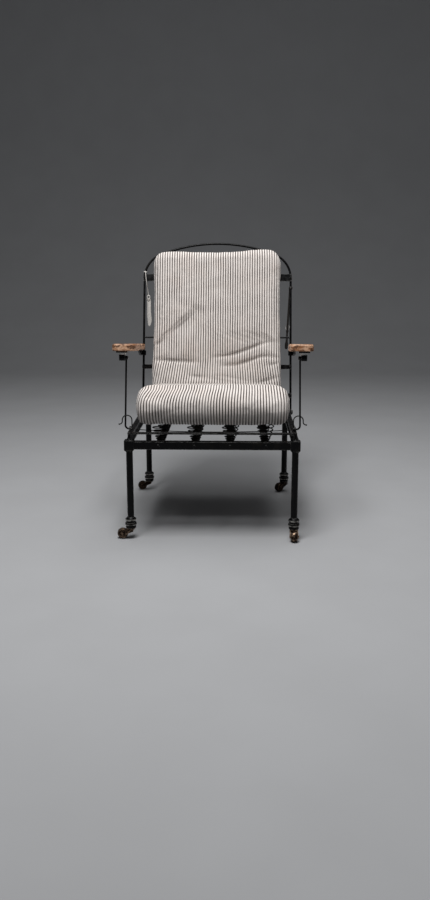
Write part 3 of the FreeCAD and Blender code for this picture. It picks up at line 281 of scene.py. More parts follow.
class Finish:
    """A material whose nodes are added one at a time."""

    def __init__(self, name, metallic=0.0, **sockets):
        self.material = bpy.data.materials.new(name)
        self.material.use_nodes = True
        self.tree = self.material.node_tree
        self.shader = self.tree.nodes["Principled BSDF"]
        self.shader.inputs["Metallic"].default_value = metallic
        for socket, value in sockets.items():
            self.shader.inputs[socket.replace("_", " ").title().replace("Ior", "IOR")].default_value = value
        self.place = self.add("TexCoord").outputs["Object"]

    def add(self, kind, inputs=None, **settings):
        made = self.tree.nodes.new("ShaderNode" + kind)
        for name, value in settings.items():
            setattr(made, name, value)
        for socket, value in (inputs or {}).items():
            self.feed(made.inputs[socket], value)
        return made

    def feed(self, socket, value):
        if isinstance(value, bpy.types.NodeSocket):
            self.tree.links.new(value, socket)
        else:
            socket.default_value = value

    def math(self, operation, a, b=0.0, clamp=False):
        made = self.add("Math", {0: a, 1: b}, operation=operation, use_clamp=clamp)
        return made.outputs[0]

    def stretch(self, scale):
        """Object coordinates with each axis scaled."""
        return self.add("Mapping", {"Vector": self.place, "Scale": scale}).outputs[0]

    def noise(self, scale, detail=3.0, rough=0.5, vector=None):
        inputs = {"Vector": vector or self.place, "Scale": scale, "Detail": detail, "Roughness": rough}
        return self.add("TexNoise", inputs).outputs[0]

    def wave(self, period, direction, distortion=0.0):
        """Bands of that period in metres, from 0 to 1."""
        scale = 2 * math.pi / (20 * period)
        inputs = {"Vector": self.place, "Scale": scale, "Distortion": distortion, "Detail": 1.0}
        return self.add("TexWave", inputs, bands_direction=direction).outputs[1]

    def between(self, value, low, high, to_low=0.0, to_high=1.0):
        """A smooth step of a value between two levels."""
        inputs = {"Value": value, "From Min": low, "From Max": high, "To Min": to_low, "To Max": to_high}
        return self.add("MapRange", inputs, interpolation_type="SMOOTHSTEP").outputs[0]

    def mix(self, share, a, b):
        made = self.add("Mix", {0: share, 6: a, 7: b}, data_type="RGBA")
        return made.outputs[2]

    def edges(self, radius):
        """1 on sharp edges and 0 on flats."""
        bevel = self.add("Bevel", {"Radius": radius}, samples=4)
        surface = self.add("NewGeometry")
        turn = self.add(
            "VectorMath", {0: bevel.outputs[0], 1: surface.outputs["Normal"]}, operation="DOT_PRODUCT",
        )
        return self.between(turn.outputs["Value"], 0.985, 0.80)

    def bump(self, height, distance, strength, below=None):
        inputs = {"Height": height, "Distance": distance, "Strength": strength}
        if below is not None:
            inputs["Normal"] = below
        return self.add("Bump", inputs).outputs[0]

    def end(self, colour, rough, normal=None):
        self.feed(self.shader.inputs["Base Color"], colour)
        self.feed(self.shader.inputs["Roughness"], rough)
        if normal is not None:
            self.feed(self.shader.inputs["Normal"], normal)
        return self.material


def opaque(colour):
    return (*colour, 1.0)


def black_iron(name, wear):
    """Old black paint, thin in patches, rubbed off along the edges by a width and on the feet's rings, those pale
    edges and bands being partly wear and partly painted highlight.
    """
    paint = colours()
    made = Finish(name, specular_ior_level=0.12)
    patches = made.noise(24.0, 5.0, 0.62)
    grain = made.noise(340.0, 3.0)
    thin = made.between(patches, 0.52, 0.68)
    colour = made.mix(thin, opaque(paint.iron), opaque(paint.iron_brown))
    # Patches that break up the pale edges and the ring bands, which are partly wear and partly painted highlight
    scuff_and_highlight_mask = made.between(made.noise(75.0, 4.0), 0.34, 0.56)
    wear_and_highlight = made.math("MULTIPLY", made.edges(wear), scuff_and_highlight_mask)
    # Pale edges, partly rubbed paint and partly painted highlight
    colour = made.mix(wear_and_highlight, colour, opaque(paint.iron_wear_and_highlight))
    # Bright bands on the feet's rings, partly rubbed metal and partly painted highlight
    height = made.add("SeparateXYZ", {0: made.place}).outputs[2]
    for ring in sizes().foot_rings:
        off = made.math("ABSOLUTE", made.math("SUBTRACT", height, ring))
        band = made.math("MULTIPLY", made.between(off, sizes().ring_band, 0.0), scuff_and_highlight_mask)
        colour = made.mix(band, colour, opaque(paint.ring))
    rough = made.between(made.noise(55.0, 4.0), 0.3, 0.7, 0.22, 0.44)
    normal = made.bump(grain, 0.0003, 0.35)
    normal = made.bump(patches, 0.0012, 0.30, normal)
    return made.end(colour, rough, normal)


def spring_wire():
    """Blackened wire with rusty patches."""
    paint = colours()
    made = Finish("blackened_wire", specular_ior_level=0.15)
    rusty = made.between(made.noise(60.0, 5.0, 0.6), 0.50, 0.68)
    colour = made.mix(rusty, opaque(paint.iron_brown), opaque(paint.rust))
    rough = made.between(rusty, 0.0, 1.0, 0.42, 0.75)
    return made.end(colour, rough, made.bump(made.noise(420.0, 3.0), 0.0003, 0.4))


def worn_wood():
    """Waxed hardwood, mottled, dark in its pores, with painted shade on its upward faces, and pale where its edges
    are rubbed.
    """
    paint = colours()
    made = Finish("worn_wood", specular_ior_level=0.30)
    fibre = made.noise(170.0, 4.0, 0.6, made.stretch((1.0, 0.07, 1.0)))
    figure = made.noise(42.0, 4.0, 0.6, made.stretch((0.7, 0.35, 1.8)))
    mottle = made.noise(64.0, 4.0, 0.58, made.stretch((0.8, 0.6, 1.4)))
    colour = made.mix(made.between(figure, 0.40, 0.58), opaque(paint.wood), opaque(paint.wood_pale))
    pores = made.between(fibre, 0.48, 0.66)
    colour = made.mix(made.math("MULTIPLY", pores, 0.55), colour, opaque(paint.wood_dark))
    stains = made.between(mottle, 0.52, 0.62)
    colour = made.mix(made.math("MULTIPLY", stains, 0.88), colour, opaque(paint.wood_dark))
    rubbed = made.math("MULTIPLY", made.edges(0.004), made.between(figure, 0.42, 0.60))
    colour = made.mix(made.math("MULTIPLY", rubbed, 0.32), colour, opaque(paint.wood_pale))
    # Painted shade: faces that look up are darkened towards the dark wood colour
    normal = made.add("TexCoord").outputs["Normal"]
    upward = made.add("SeparateXYZ", {0: normal}).outputs[2]
    colour = made.mix(made.between(upward, 0.50, 0.95, 0.0, 0.45), colour, opaque(paint.wood_dark))
    rough = made.between(mottle, 0.35, 0.65, 0.42, 0.62)
    normal = made.bump(fibre, 0.0005, 0.45)
    normal = made.bump(mottle, 0.0014, 0.35, normal)
    return made.end(colour, rough, normal)


def tarnished_brass(name, level):
    """Brass, brown where its noise is over a level and rubbed bright along the edges."""
    paint = colours()
    made = Finish(name, metallic=1.0)
    brown = made.between(made.noise(95.0, 5.0, 0.62), level, level + 0.18)
    bright = made.math("SUBTRACT", brown, made.edges(0.002), clamp=True)
    colour = made.mix(bright, opaque(paint.brass), opaque(paint.tarnish))
    rough = made.between(brown, 0.0, 1.0, 0.36, 0.60)
    return made.end(colour, rough, made.bump(made.noise(300.0, 3.0), 0.0003, 0.35))


def bright_steel():
    """Dull bright steel with fine scratches."""
    paint = colours()
    made = Finish("bright_steel", metallic=0.35)
    scratch = made.noise(420.0, 3.0, 0.6, made.stretch((1.0, 0.15, 1.0)))
    spots = made.between(made.noise(140.0, 4.0), 0.52, 0.70)
    colour = made.mix(made.math("MULTIPLY", spots, 0.6), opaque(paint.steel), opaque(paint.iron_brown))
    rough = made.between(scratch, 0.3, 0.7, 0.30, 0.48)
    return made.end(colour, rough, made.bump(scratch, 0.0001, 0.3))


def weave(made, thread):
    """Height of a plain weave, over and under."""
    warp = made.wave(thread, "X")
    weft = made.wave(thread, "Z")
    depth = made.wave(thread, "Y")
    return made.math("ADD", made.math("MULTIPLY", warp, weft), made.math("MULTIPLY", warp, depth))


def ticking():
    """Striped cotton ticking: even stripes that wander a little, a woven surface, faint soiling and painted shade
    in the creases.
    """
    paint = colours()
    size = sizes()
    made = Finish("striped_ticking", specular_ior_level=0.15, sheen_weight=0.12, sheen_roughness=0.6)
    across = made.add("Attribute", attribute_name=STRIPE_MAP, attribute_type="GEOMETRY").outputs["Fac"]
    sway = made.math("MULTIPLY", made.math("SUBTRACT", made.noise(11.0, 2.0), 0.5), 0.0035)
    turns = made.math("DIVIDE", made.math("ADD", across, sway), size.stripe_pitch)
    phase = made.math("FRACT", turns)
    off_middle = made.math("MULTIPLY", made.math("ABSOLUTE", made.math("SUBTRACT", phase, 0.5)), 2.0)
    edge = 0.09
    fuzz = made.math("MULTIPLY", made.math("SUBTRACT", made.noise(900.0, 2.0), 0.5), 0.10)
    light = made.between(made.math("ADD", off_middle, fuzz), size.dark_share - edge, size.dark_share + edge)
    fade = made.between(made.noise(16.0, 4.0, 0.6), 0.35, 0.75, 0.0, 0.22)
    dark = made.mix(fade, opaque(paint.ticking_dark), opaque(paint.ticking_light))
    soil = made.between(made.noise(7.0, 4.0, 0.6), 0.45, 0.80, 0.0, 0.16)
    pale = made.mix(soil, opaque(paint.ticking_light), opaque(paint.wood_pale))
    colour = made.mix(light, dark, pale)
    # Painted shade: the creases are darkened towards the dark stripe colour
    crease_shade = made.add("Attribute", attribute_name=CREASE_MAP, attribute_type="GEOMETRY").outputs["Fac"]
    colour = made.mix(made.math("MULTIPLY", crease_shade, 0.55), colour, opaque(paint.ticking_dark))
    yarn = made.noise(700.0, 2.0, 0.5, made.stretch((1.0, 0.08, 0.08)))
    colour = made.mix(made.between(yarn, 0.45, 0.8, 0.0, 0.12), colour, opaque(paint.ticking_dark))
    normal = made.bump(weave(made, size.thread), 0.0003, 0.45)
    normal = made.bump(made.noise(48.0, 4.0, 0.55), 0.0022, 0.30, normal)
    return made.end(colour, 0.92, normal)


def white_cotton():
    """Washed cotton tape."""
    paint = colours()
    made = Finish("white_cotton", specular_ior_level=0.15, sheen_weight=0.15)
    grey = made.between(made.noise(60.0, 4.0), 0.45, 0.75, 0.0, 0.30)
    colour = made.mix(grey, opaque(paint.cotton), opaque(paint.ticking_light))
    threads = made.between(made.wave(0.0014, "X"), 0.2, 0.8, 0.0, 0.18)
    colour = made.mix(threads, colour, opaque(paint.wood_pale))
    return made.end(colour, 0.94, made.bump(weave(made, 0.0014), 0.0004, 0.6))


def old_leather():
    """Dark strap leather, grained and rubbed along its edges."""
    paint = colours()
    made = Finish("old_leather", specular_ior_level=0.4)
    grain = made.add("TexVoronoi", {"Vector": made.place, "Scale": 900.0}).outputs["Distance"]
    rubbed = made.math("MULTIPLY", made.edges(0.0015), made.between(made.noise(120.0, 4.0), 0.4, 0.6))
    colour = made.mix(rubbed, opaque(paint.leather), opaque(paint.leather_worn))
    cracks = made.between(made.noise(260.0, 4.0, 0.6), 0.52, 0.70, 0.0, 0.35)
    colour = made.mix(cracks, colour, opaque(paint.leather_worn))
    rough = made.between(made.noise(90.0, 3.0), 0.3, 0.7, 0.45, 0.65)
    return made.end(colour, rough, made.bump(grain, 0.0004, 0.5))


def studio_floor():
    """Plain pale matt floor."""
    made = Finish("studio_floor", specular_ior_level=0.2)
    shade = made.between(made.noise(3.0, 3.0), 0.3, 0.7, 0.0, 0.04)
    return made.end(made.mix(shade, opaque(colours().floor), opaque(colours().ticking_dark)), 0.85)


def finish_nodes(slots, material):
    """Give the frame's nodes of those slots a material."""
    named = [name for name, slot in SLOT_OF.items() if slot in slots]
    if not named:
        raise RuntimeError("the frame has no node with slot " + ", ".join(slots))
    for name in named:
        dress(NODES[name], material)


# Mattress

SEAT_AXES = (Vector((1, 0, 0)), Vector((0, 1, 0)), Vector((0, 0, 1)))
BACK_AXES = (Vector((1, 0, 0)), BACK_UP, BACK_FRONT)


def extents(piece, axes):
    """Least and greatest reach of a piece along each axis, from the hinge."""
    reaches = []
    for axis in axes:
        along = [(vertex.co - HINGE).dot(axis) for vertex in piece.data.vertices]
        reaches.append((min(along), max(along)))
    return reaches


def mattress_copy(node, name):
    """A merged copy of a pad of the frame, remeshed evenly."""
    mesh = NODES[node].data.copy()
    mesh.name = name
    piece = bpy.data.objects.new(name, mesh)
    bpy.context.scene.collection.objects.link(piece)
    only(piece)
    bpy.ops.object.mode_set(mode="EDIT")
    bpy.ops.mesh.select_all(action="SELECT")
    bpy.ops.mesh.remove_doubles(threshold=MERGE_DISTANCE)
    bpy.ops.object.mode_set(mode="OBJECT")
    finish_with(piece, "REMESH", mode="VOXEL", voxel_size=sizes().voxel)
    finish_with(piece, "SMOOTH", factor=0.5, iterations=6)
    return piece


def press_line(piece, points, depth, width, tapered):
    """Press a crease along a line into a mattress. Returns how much each point took part."""
    vertices = piece.data.vertices
    tree = kdtree.KDTree(len(vertices))
    for vertex in vertices:
        tree.insert(vertex.co, vertex.index)
    tree.balance()
    length = sum((b - a).length for a, b in zip(points, points[1:]))
    shares = {}
    done = 0.0
    for a, b in zip(points, points[1:]):
        run = (b - a).length
        steps = max(1, math.ceil(run / LINE_STEP))
        for step in range(steps + 1):
            place = a.lerp(b, step / steps)
            along = (done + run * step / steps) / length
            taper = math.sin(math.pi * along) ** CREASE_FADE if tapered else 1.0
            for _, index, distance in tree.find_range(place, CREASE_REACH * width):
                share = taper * math.exp(-(distance / width) ** 2)
                shares[index] = max(shares.get(index, 0.0), share)
        done += run
    inward = {index: -vertices[index].normal for index in shares}
    for index, share in shares.items():
        vertices[index].co += inward[index] * (depth * share)
    return shares


def mark_creases(piece, all_shares):
    """Hold the creases while the mattress fills and store them for the painted shade in the creases. Returns the
    group's name.
    """
    total = [0.0] * len(piece.data.vertices)
    for shares in all_shares:
        for index, share in shares.items():
            total[index] = max(total[index], share)
    group = piece.vertex_groups.new(name="creases")
    for index, share in enumerate(total):
        if share > HOLD_FROM:
            group.add([index], min(1.0, HOLD_GAIN * share), "REPLACE")
    layer = piece.data.attributes.new(CREASE_MAP, "FLOAT", "POINT")
    layer.data.foreach_set("value", [share ** 3 for share in total])
    return group.name


def swell(piece, group):
    """Fill a mattress by cloth simulation, no point moving further than the limit."""
    start = [vertex.co.copy() for vertex in piece.data.vertices]
    only(piece)
    bpy.ops.object.modifier_add(type="CLOTH")
    cloth = piece.modifiers[-1]
    cloth.settings.quality = FILL_QUALITY
    cloth.settings.use_pressure = True
    cloth.settings.uniform_pressure_force = FILL_PRESSURE
    cloth.settings.effector_weights.gravity = 0.0
    cloth.settings.vertex_group_mass = group
    cloth.collision_settings.use_collision = False
    cloth.point_cache.frame_start = 1
    cloth.point_cache.frame_end = FILL_FRAMES
    for moment in range(1, FILL_FRAMES + 1):
        bpy.context.scene.frame_set(moment)
    bpy.ops.object.modifier_apply(modifier=cloth.name)
    bpy.context.scene.frame_set(1)
    limit = sizes().swell_limit
    for vertex, origin in zip(piece.data.vertices, start):
        move = vertex.co - origin
        if move.length > limit:
            vertex.co = origin + move.normalized() * limit


def fit(piece, axes, wanted):
    """Stretch a filled mattress along its axes to the reaches that are wanted."""
    found = extents(piece, axes)
    for vertex in piece.data.vertices:
        reach = vertex.co - HINGE
        place = HINGE.copy()
        for axis, (low, high), (to_low, to_high) in zip(axes, found, wanted):
            share = (reach.dot(axis) - low) / (high - low)
            place += axis * (to_low + share * (to_high - to_low))
        vertex.co = place


def lump(piece, seed):
    """Small lumps of stuffing under the cloth."""
    height = sizes().ripple
    shift = Vector((seed, seed, seed))
    outward = [vertex.normal.copy() for vertex in piece.data.vertices]
    for vertex, normal in zip(piece.data.vertices, outward):
        broad = noise.noise(vertex.co * BROAD_LUMPS + shift)
        fine = noise.noise(vertex.co * FINE_LUMPS + shift)
        vertex.co += normal * height * (broad + FINE_SHARE * fine)


def map_stripes(piece):
    """Store how far each point lies across the cloth, measured on round the sides."""
    vertices = piece.data.vertices
    turn = PAD_SIDE - RIM_INSET
    rims = {}
    for side in (-1, 1):
        rim = [v.co for v in vertices if abs(v.co.x * side - turn) < RIM_BAND]
        tree = kdtree.KDTree(len(rim))
        for index, co in enumerate(rim):
            tree.insert((0.0, co.y, co.z), index)
        tree.balance()
        rims[side] = tree
    values = []
    for vertex in vertices:
        side = 1 if vertex.co.x > 0 else -1
        over = abs(vertex.co.x) - turn
        if over > 0:
            _, _, distance = rims[side].find((0.0, vertex.co.y, vertex.co.z))
            values.append(side * (turn + math.hypot(over, distance)))
        else:
            values.append(vertex.co.x)
    layer = piece.data.attributes.new(STRIPE_MAP, "FLOAT", "POINT")
    layer.data.foreach_set("value", values)


def clamped(value):
    return min(1.0, max(0.0, value))


def smooth_step(value):
    """A value from 0 to 1, eased at both ends."""
    share = clamped(value)
    return share * share * (3 - 2 * share)


def spread_stripes(piece, share_at, middle, spread):
    """Let the stripes run outward from a middle line, or inward where the spread is below 0."""
    for vertex, across in zip(piece.data.vertices, piece.data.attributes[STRIPE_MAP].data):
        across.value -= spread * share_at(vertex.co) * (across.value - middle)


def fill(piece, axes, creases, keep, seed):
    """Fill, lump, fit and refine a creased mattress, and map its stripes."""
    wanted = extents(piece, axes)
    plump = sizes().plump
    wanted[0] = (wanted[0][0] - plump, wanted[0][1] + plump)
    pressed = [press_line(piece, *crease) for crease in creases]
    group = mark_creases(piece, pressed)
    swell(piece, group)
    piece.vertex_groups.clear()
    lump(piece, seed)
    finish_with(piece, "SMOOTH", factor=0.4, iterations=2)
    fit(piece, axes, wanted)
    for vertex in piece.data.vertices:
        vertex.co = keep(vertex.co)
    finish_with(piece, "SUBSURF", levels=1, render_levels=1)
    map_stripes(piece)
    only(piece)
    bpy.ops.object.shade_smooth()
    dress(piece, bpy.data.materials.get("striped_ticking") or ticking())


class CHAIR_OT_seat_mattress(bpy.types.Operator):
    """Folded lower half of the mattress: a roll in front and two layers that meet in a crease at the sides"""

    bl_idname = "chair.seat_mattress"
    bl_label = "Seat mattress"
    # How the stripes draw in over the roll: over that depth and rise, from that place, by that share
    spread_depth, spread_rise, spread_from, spread = 0.070, 0.030, 0.160, -0.055
    # Ends of the fold: in from the front or the rear, and up from the underside
    fold_front = (0.050, 0.066)
    fold_rear = (0.030, 0.034)
    lump_seed = 3.0

    def over_roll(self, co):
        """How much of the stripes' spread a point takes: 0 on the roll's front and 1 on its top."""
        middle = (SEAT_LOW.z + SEAT_HIGH.z) / 2
        behind = smooth_step((co.y - SEAT_LOW.y) / self.spread_depth)
        return behind * smooth_step((co.z - middle) / self.spread_rise)

    def execute(self, context):
        size = sizes()
        piece = mattress_copy("seat_pad", "seat_mattress")
        front = (SEAT_LOW.y + self.fold_front[0], SEAT_LOW.z + self.fold_front[1])
        rear = (SEAT_HIGH.y - self.fold_rear[0], SEAT_LOW.z + self.fold_rear[1])
        creases = []
        for side in (-PAD_SIDE, PAD_SIDE):
            line = [Vector((side, *front)), Vector((side, *rear))]
            creases.append((line, size.fold_depth, size.fold_width, False))
        rear_face = min(back_place(vertex.co)[1] for vertex in piece.data.vertices)

        def keep(co):
            behind = rear_face - back_place(co)[1]
            if behind > 0:
                co = co + BACK_FRONT * behind
            return Vector((co.x, co.y, max(co.z, SEAT_LOW.z)))

        fill(piece, SEAT_AXES, creases, keep, self.lump_seed)
        spread_stripes(piece, self.over_roll, self.spread_from, self.spread)
        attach(piece, "seat_frame")
        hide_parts("seat_pad")
        return {"FINISHED"}


class CHAIR_OT_back_mattress(bpy.types.Operator):
    """Upper half of the mattress, creased where it sags on the back"""

    bl_idname = "chair.back_mattress"
    bl_label = "Back mattress"

    # Creases by place across and height along the back, with depth and half width, in metres
    creases = (
        (((-0.269, 0.210), (-0.209, 0.210), (-0.167, 0.208),
          (-0.113, 0.205), (-0.071, 0.200)), 0.013, 0.0075),
        (((-0.018, 0.220), (0.048, 0.230), (0.083, 0.241), (0.119, 0.254),
          (0.143, 0.263), (0.173, 0.276), (0.202, 0.285), (0.244, 0.289)), 0.015, 0.0075),
        (((0.012, 0.184), (0.072, 0.191), (0.101, 0.198), (0.143, 0.212),
          (0.179, 0.225), (0.208, 0.227), (0.253, 0.220)), 0.012, 0.0075),
        (((-0.266, 0.270), (-0.239, 0.280), (-0.210, 0.302)), 0.006, 0.007),
        (((-0.210, 0.302), (-0.186, 0.329), (-0.127, 0.378), (-0.097, 0.405), (-0.070, 0.429)), 0.0025, 0.01),
        (((-0.113, 0.148), (-0.077, 0.145), (-0.041, 0.143)), 0.003, 0.008),
        (((0.155, 0.114), (0.191, 0.124), (0.221, 0.133), (0.265, 0.143)), 0.008, 0.008),
        (((0.203, 0.189), (0.232, 0.195), (0.265, 0.203)), 0.006, 0.007),
    )
    # Height up to which the seat mattress lies close in front
    seat_top = 0.150
    lump_seed = 8.0
    # How the worn top edge hangs: from that height, over that run, by how much and how much more to the left
    sag_from, sag_run, sag, sag_tilt = 0.480, 0.170, 0.0085, 0.018
    # Rounder corners: side, distance from the middle at which they start, their run and drop
    corners = ((-1, 0.150, 0.120, 0.011), (1, 0.200, 0.070, 0.024))
    # How the stripes spread at the foot: below that height, over that run, from that place and by that share
    spread_below, spread_run, spread_from, spread = 0.205, 0.095, 0.040, 0.065

    def hang(self, co, height):
        """A point of the top edge, let down where the stuffing has settled."""
        drop = self.sag - self.sag_tilt * co.x
        for side, start, run, most in self.corners:
            drop += most * (max(0.0, side * co.x - start) / run) ** 2
        return co - BACK_UP * (drop * smooth_step((height - self.sag_from) / self.sag_run))

    def at_foot(self, co):
        """How much of the stripes' spread a point takes: 0 above the foot and 1 at its lower end."""
        height, _ = back_place(co)
        return clamped((self.spread_below - height) / self.spread_run)

    def execute(self, context):
        piece = mattress_copy("back_pad", "back_mattress")
        rear, front = extents(piece, BACK_AXES)[2]
        creases = []
        for places, depth, width in self.creases:
            line = [on_back(x, height, front) for x, height in places]
            creases.append((line, depth, width, True))

        def keep(co):
            height, place = back_place(co)
            if place < rear:
                co = co + BACK_FRONT * (rear - place)
            if height < self.seat_top and place > front:
                co = co - BACK_FRONT * (place - front)
            return self.hang(co, height)

        fill(piece, BACK_AXES, creases, keep, self.lump_seed)
        spread_stripes(piece, self.at_foot, self.spread_from, self.spread)
        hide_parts("back_pad")
        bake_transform(piece)
        return {"FINISHED"}


# Ties

def upright_band(place, width, length):
    """An upright strip that faces the front, ready to be drawn on from its lower edge."""
    bpy.ops.object.select_all(action="DESELECT")
    bpy.ops.mesh.primitive_plane_add(size=1.0, location=place, rotation=(math.pi / 2, 0, 0))
    band = bpy.context.object
    band.scale = (width, length, 1.0)
    settle(band)
    bpy.ops.object.mode_set(mode="EDIT")
    bpy.ops.mesh.select_mode(type="EDGE")
    bpy.ops.mesh.select_all(action="DESELECT")
    bpy.ops.object.mode_set(mode="OBJECT")
    low = [vertex.co.z < place.z for vertex in band.data.vertices]
    for edge in band.data.edges:
        edge.select = all(low[index] for index in edge.vertices)
    return band


def ribbon(points, width, thickness, ends=()):
    """A band that hangs along a line of points, and then goes on by moves that each change its width."""
    stub = 0.004
    band = upright_band(points[0] + Vector((0, 0, stub / 2)), width, stub)
    only(band)
    bpy.ops.object.mode_set(mode="EDIT")
    for move, widen in [(b - a, 1.0) for a, b in zip(points, points[1:])] + list(ends):
        bpy.ops.mesh.extrude_region_move(TRANSFORM_OT_translate={"value": move})
        if widen != 1.0:
            bpy.ops.transform.resize(value=(widen, 1.0, 1.0))
    bpy.ops.object.mode_set(mode="OBJECT")
    finish_with(band, "SUBSURF", levels=2, render_levels=2)
    finish_with(band, "SOLIDIFY", thickness=thickness, offset=0.0)
    soften(band, thickness / 4)
    return band


def soften(piece, width):
    """Round a piece's sharp edges."""
    finish_with(piece, "BEVEL", width=width, segments=2, limit_method="ANGLE", angle_limit=math.radians(50))
    smooth(piece)


def loop_round(place, direction, inside, wall, width):
    """A flat loop round a rod that runs in that direction."""
    bpy.ops.object.select_all(action="DESELECT")
    bpy.ops.mesh.primitive_cylinder_add(
        vertices=32, radius=inside + wall / 2, depth=width, end_fill_type="NOTHING",
        location=place, rotation=direction.to_track_quat("Z", "Y").to_euler(),
    )
    loop = bpy.context.object
    settle(loop)
    finish_with(loop, "SOLIDIFY", thickness=wall, offset=0.0)
    soften(loop, wall / 4)
    return loop


def cord_ring(place, turn, radius, thickness, tall):
    """A ring of cord for a knot."""
    bpy.ops.object.select_all(action="DESELECT")
    bpy.ops.mesh.primitive_torus_add(
        major_segments=32, minor_segments=12, major_radius=radius, minor_radius=thickness / 2,
        location=place, rotation=turn,
    )
    ring = bpy.context.object
    ring.scale = (1.0, tall, 1.0)
    settle(ring)
    smooth(ring)
    return ring


def tie_place(tie):
    """Middle of the hoop's rod where something is tied."""
    return on_back(tie[0], tie[1], 0.0)


class CHAIR_OT_cotton_tape(bpy.types.Operator):
    """White cotton tape: a turn round the hoop, two strings, a bow and a doubled tail"""

    bl_idname = "chair.cotton_tape"
    bl_label = "Cotton tape"
    cord_thickness = 0.0036
    # Rings of the bow by place from the knot, turn, radius and stretch
    rings = (
        ((0.0005, -0.0045, 0.001), (math.pi / 2, 0, 0.2), 0.0056, 1.35),
        ((0, 0, -0.010), (0.3, 0.4, 0), 0.0046, 1.0),
    )
    # Layers of the tail by place across from the knot and share of the tail's length
    layers = ((-0.0012, 1.04), (0.0022, 0.96))
    # From the knot down to the tail's start, and the number of steps in which the tail is drawn
    tail_below = 0.008
    tail_steps = 5

    def execute(self, context):
        size = sizes()
        tie = tie_place(size.tape_tie)
        rod = Vector((math.sin(size.tape_tilt), 0, 0)) + BACK_UP * math.cos(size.tape_tilt)
        inside = size.hoop_radius + size.tie_clearance
        wall = 2 * size.tape_thickness
        pieces = [loop_round(tie, rod, inside, wall, size.tape_neck)]
        behind = Vector((0, inside + wall / 2, 0))
        knot = tie + behind + Vector((size.tape_drift, 0, -size.tape_drop))
        rear_top = tie + behind
        pieces.append(ribbon([rear_top, rear_top.lerp(knot, 0.35), rear_top.lerp(knot, 0.7), knot],
                             size.tape_neck, size.tape_thickness))
        pieces.append(self.front_string(inside + wall / 2, knot))
        for place, turn, radius, tall in self.rings:
            pieces.append(cord_ring(knot + Vector(place), turn, radius, self.cord_thickness, tall))
        pieces += self.tails(knot)
        tape = joined("white_tape", pieces)
        dress(tape, white_cotton())
        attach(tape, "back")
        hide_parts("cotton_tape")
        return {"FINISHED"}

    def front_string(self, reach, knot):
        """The string that runs down in front of the top bar and then back to the knot."""
        size = sizes()
        _, bar_front = extents(NODES["back_top_bar"], (BACK_FRONT,))[0]
        bar_low, bar_high = extents(NODES["back_top_bar"], (BACK_UP,))[0]
        clear = bar_front + size.tape_thickness
        x, height = size.tape_tie
        points = [
            on_back(x, height, reach),
            on_back(x + 0.0015, bar_high + 0.004, clear),
            on_back(x + 0.0035, (bar_low + bar_high) / 2, clear),
            on_back(x + 0.0055, bar_low - 0.004, clear),
            on_back(x + 0.0075, bar_low - 0.022, clear - 0.016),
            knot + Vector((-0.001, -size.tape_thickness, 0.006)),
        ]
        return ribbon(points, 0.6 * size.tape_neck, size.tape_thickness)

    def tails(self, knot):
        """The doubled tail below the bow."""
        size = sizes()
        made = []
        for layer, (aside, share) in enumerate(self.layers):
            start = knot + Vector((aside, (layer - 0.5) * 1.7 * size.tape_thickness, -self.tail_below))
            step = -size.tape_tail * share / self.tail_steps
            points = [start]
            for count in range(1, self.tail_steps + 1):
                wave = 0.0012 * math.sin(1.7 * count + layer)
                points.append(start + Vector((0.0004 * count + wave, 0, step * count)))
            made.append(ribbon(points, size.tape_width, size.tape_thickness))
        return made


class CHAIR_OT_leather_strap(bpy.types.Operator):
    """Leather strap: a loop round the hoop, a narrow band with holes and a keeper, and a broad end"""

    bl_idname = "chair.leather_strap"
    bl_label = "Leather strap"
    # Places of the holes and of the keeper, down from the tie
    holes = (0.196, 0.207, 0.218)
    keeper = 0.184
    # The keeper's clearance, wall, width and flatness
    keeper_gap, keeper_wall, keeper_width, keeper_flat = 0.0002, 0.0014, 0.0055, 0.50
    # Where the band starts across from the tie, and the number of steps down to its broad end
    top_aside = -0.002
    plain_steps = 8

    def execute(self, context):
        size = sizes()
        tie = tie_place(size.strap_tie)
        inside = size.hoop_radius + size.tie_clearance
        wall = size.strap_thickness
        tab_width, tab_length = size.strap_tab
        loop = loop_round(tie, BACK_UP, inside, wall, size.strap_width)
        top = tie + Vector((self.top_aside, inside + wall / 2, 0))
        end = top + Vector((-size.strap_drift, 0, -size.strap_length))
        down = end - top
        plain = 1 - tab_length / size.strap_length
        points = [top.lerp(end, plain * step / self.plain_steps) for step in range(self.plain_steps + 1)]
        whole = down * (tab_length / size.strap_length)
        ends = [
            (whole * 0.08, tab_width / size.strap_width), (whole * 0.25, 1.0), (whole * 0.35, 1.0),
            (whole * 0.20, 0.86), (whole * 0.12, 0.55),
        ]
        band = ribbon(points, size.strap_width, size.strap_thickness, ends)
        for below in self.holes:
            self.punch(band, top + down * (below / size.strap_length))
        place = top + down * (self.keeper / size.strap_length)
        strap = joined("old_strap", [loop, band, self.keep_loop(place)])
        dress(strap, old_leather())
        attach(strap, "back")
        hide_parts("leather_strap")
        return {"FINISHED"}

    def punch(self, band, place):
        """Punch a hole through the band."""
        size = sizes()
        bpy.ops.object.select_all(action="DESELECT")
        bpy.ops.mesh.primitive_cylinder_add(
            vertices=20, radius=size.strap_hole / 2, depth=6 * size.strap_thickness, location=place,
            rotation=(math.pi / 2, 0, 0),
        )
        cutter = bpy.context.object
        finish_with(band, "BOOLEAN", object=cutter, operation="DIFFERENCE", solver="EXACT")
        only(cutter)
        bpy.ops.object.delete()

    def keep_loop(self, place):
        """Narrow leather loop round the band."""
        size = sizes()
        inside = size.strap_width / 2 + self.keeper_gap
        loop = loop_round(place, Vector((0, 0, 1)), inside, self.keeper_wall, self.keeper_width)
        only(loop)
        bpy.ops.object.mode_set(mode="EDIT")
        bpy.ops.mesh.select_all(action="SELECT")
        bpy.ops.transform.resize(value=(1.0, self.keeper_flat, 1.0), center_override=place)
        bpy.ops.object.mode_set(mode="OBJECT")
        return loop


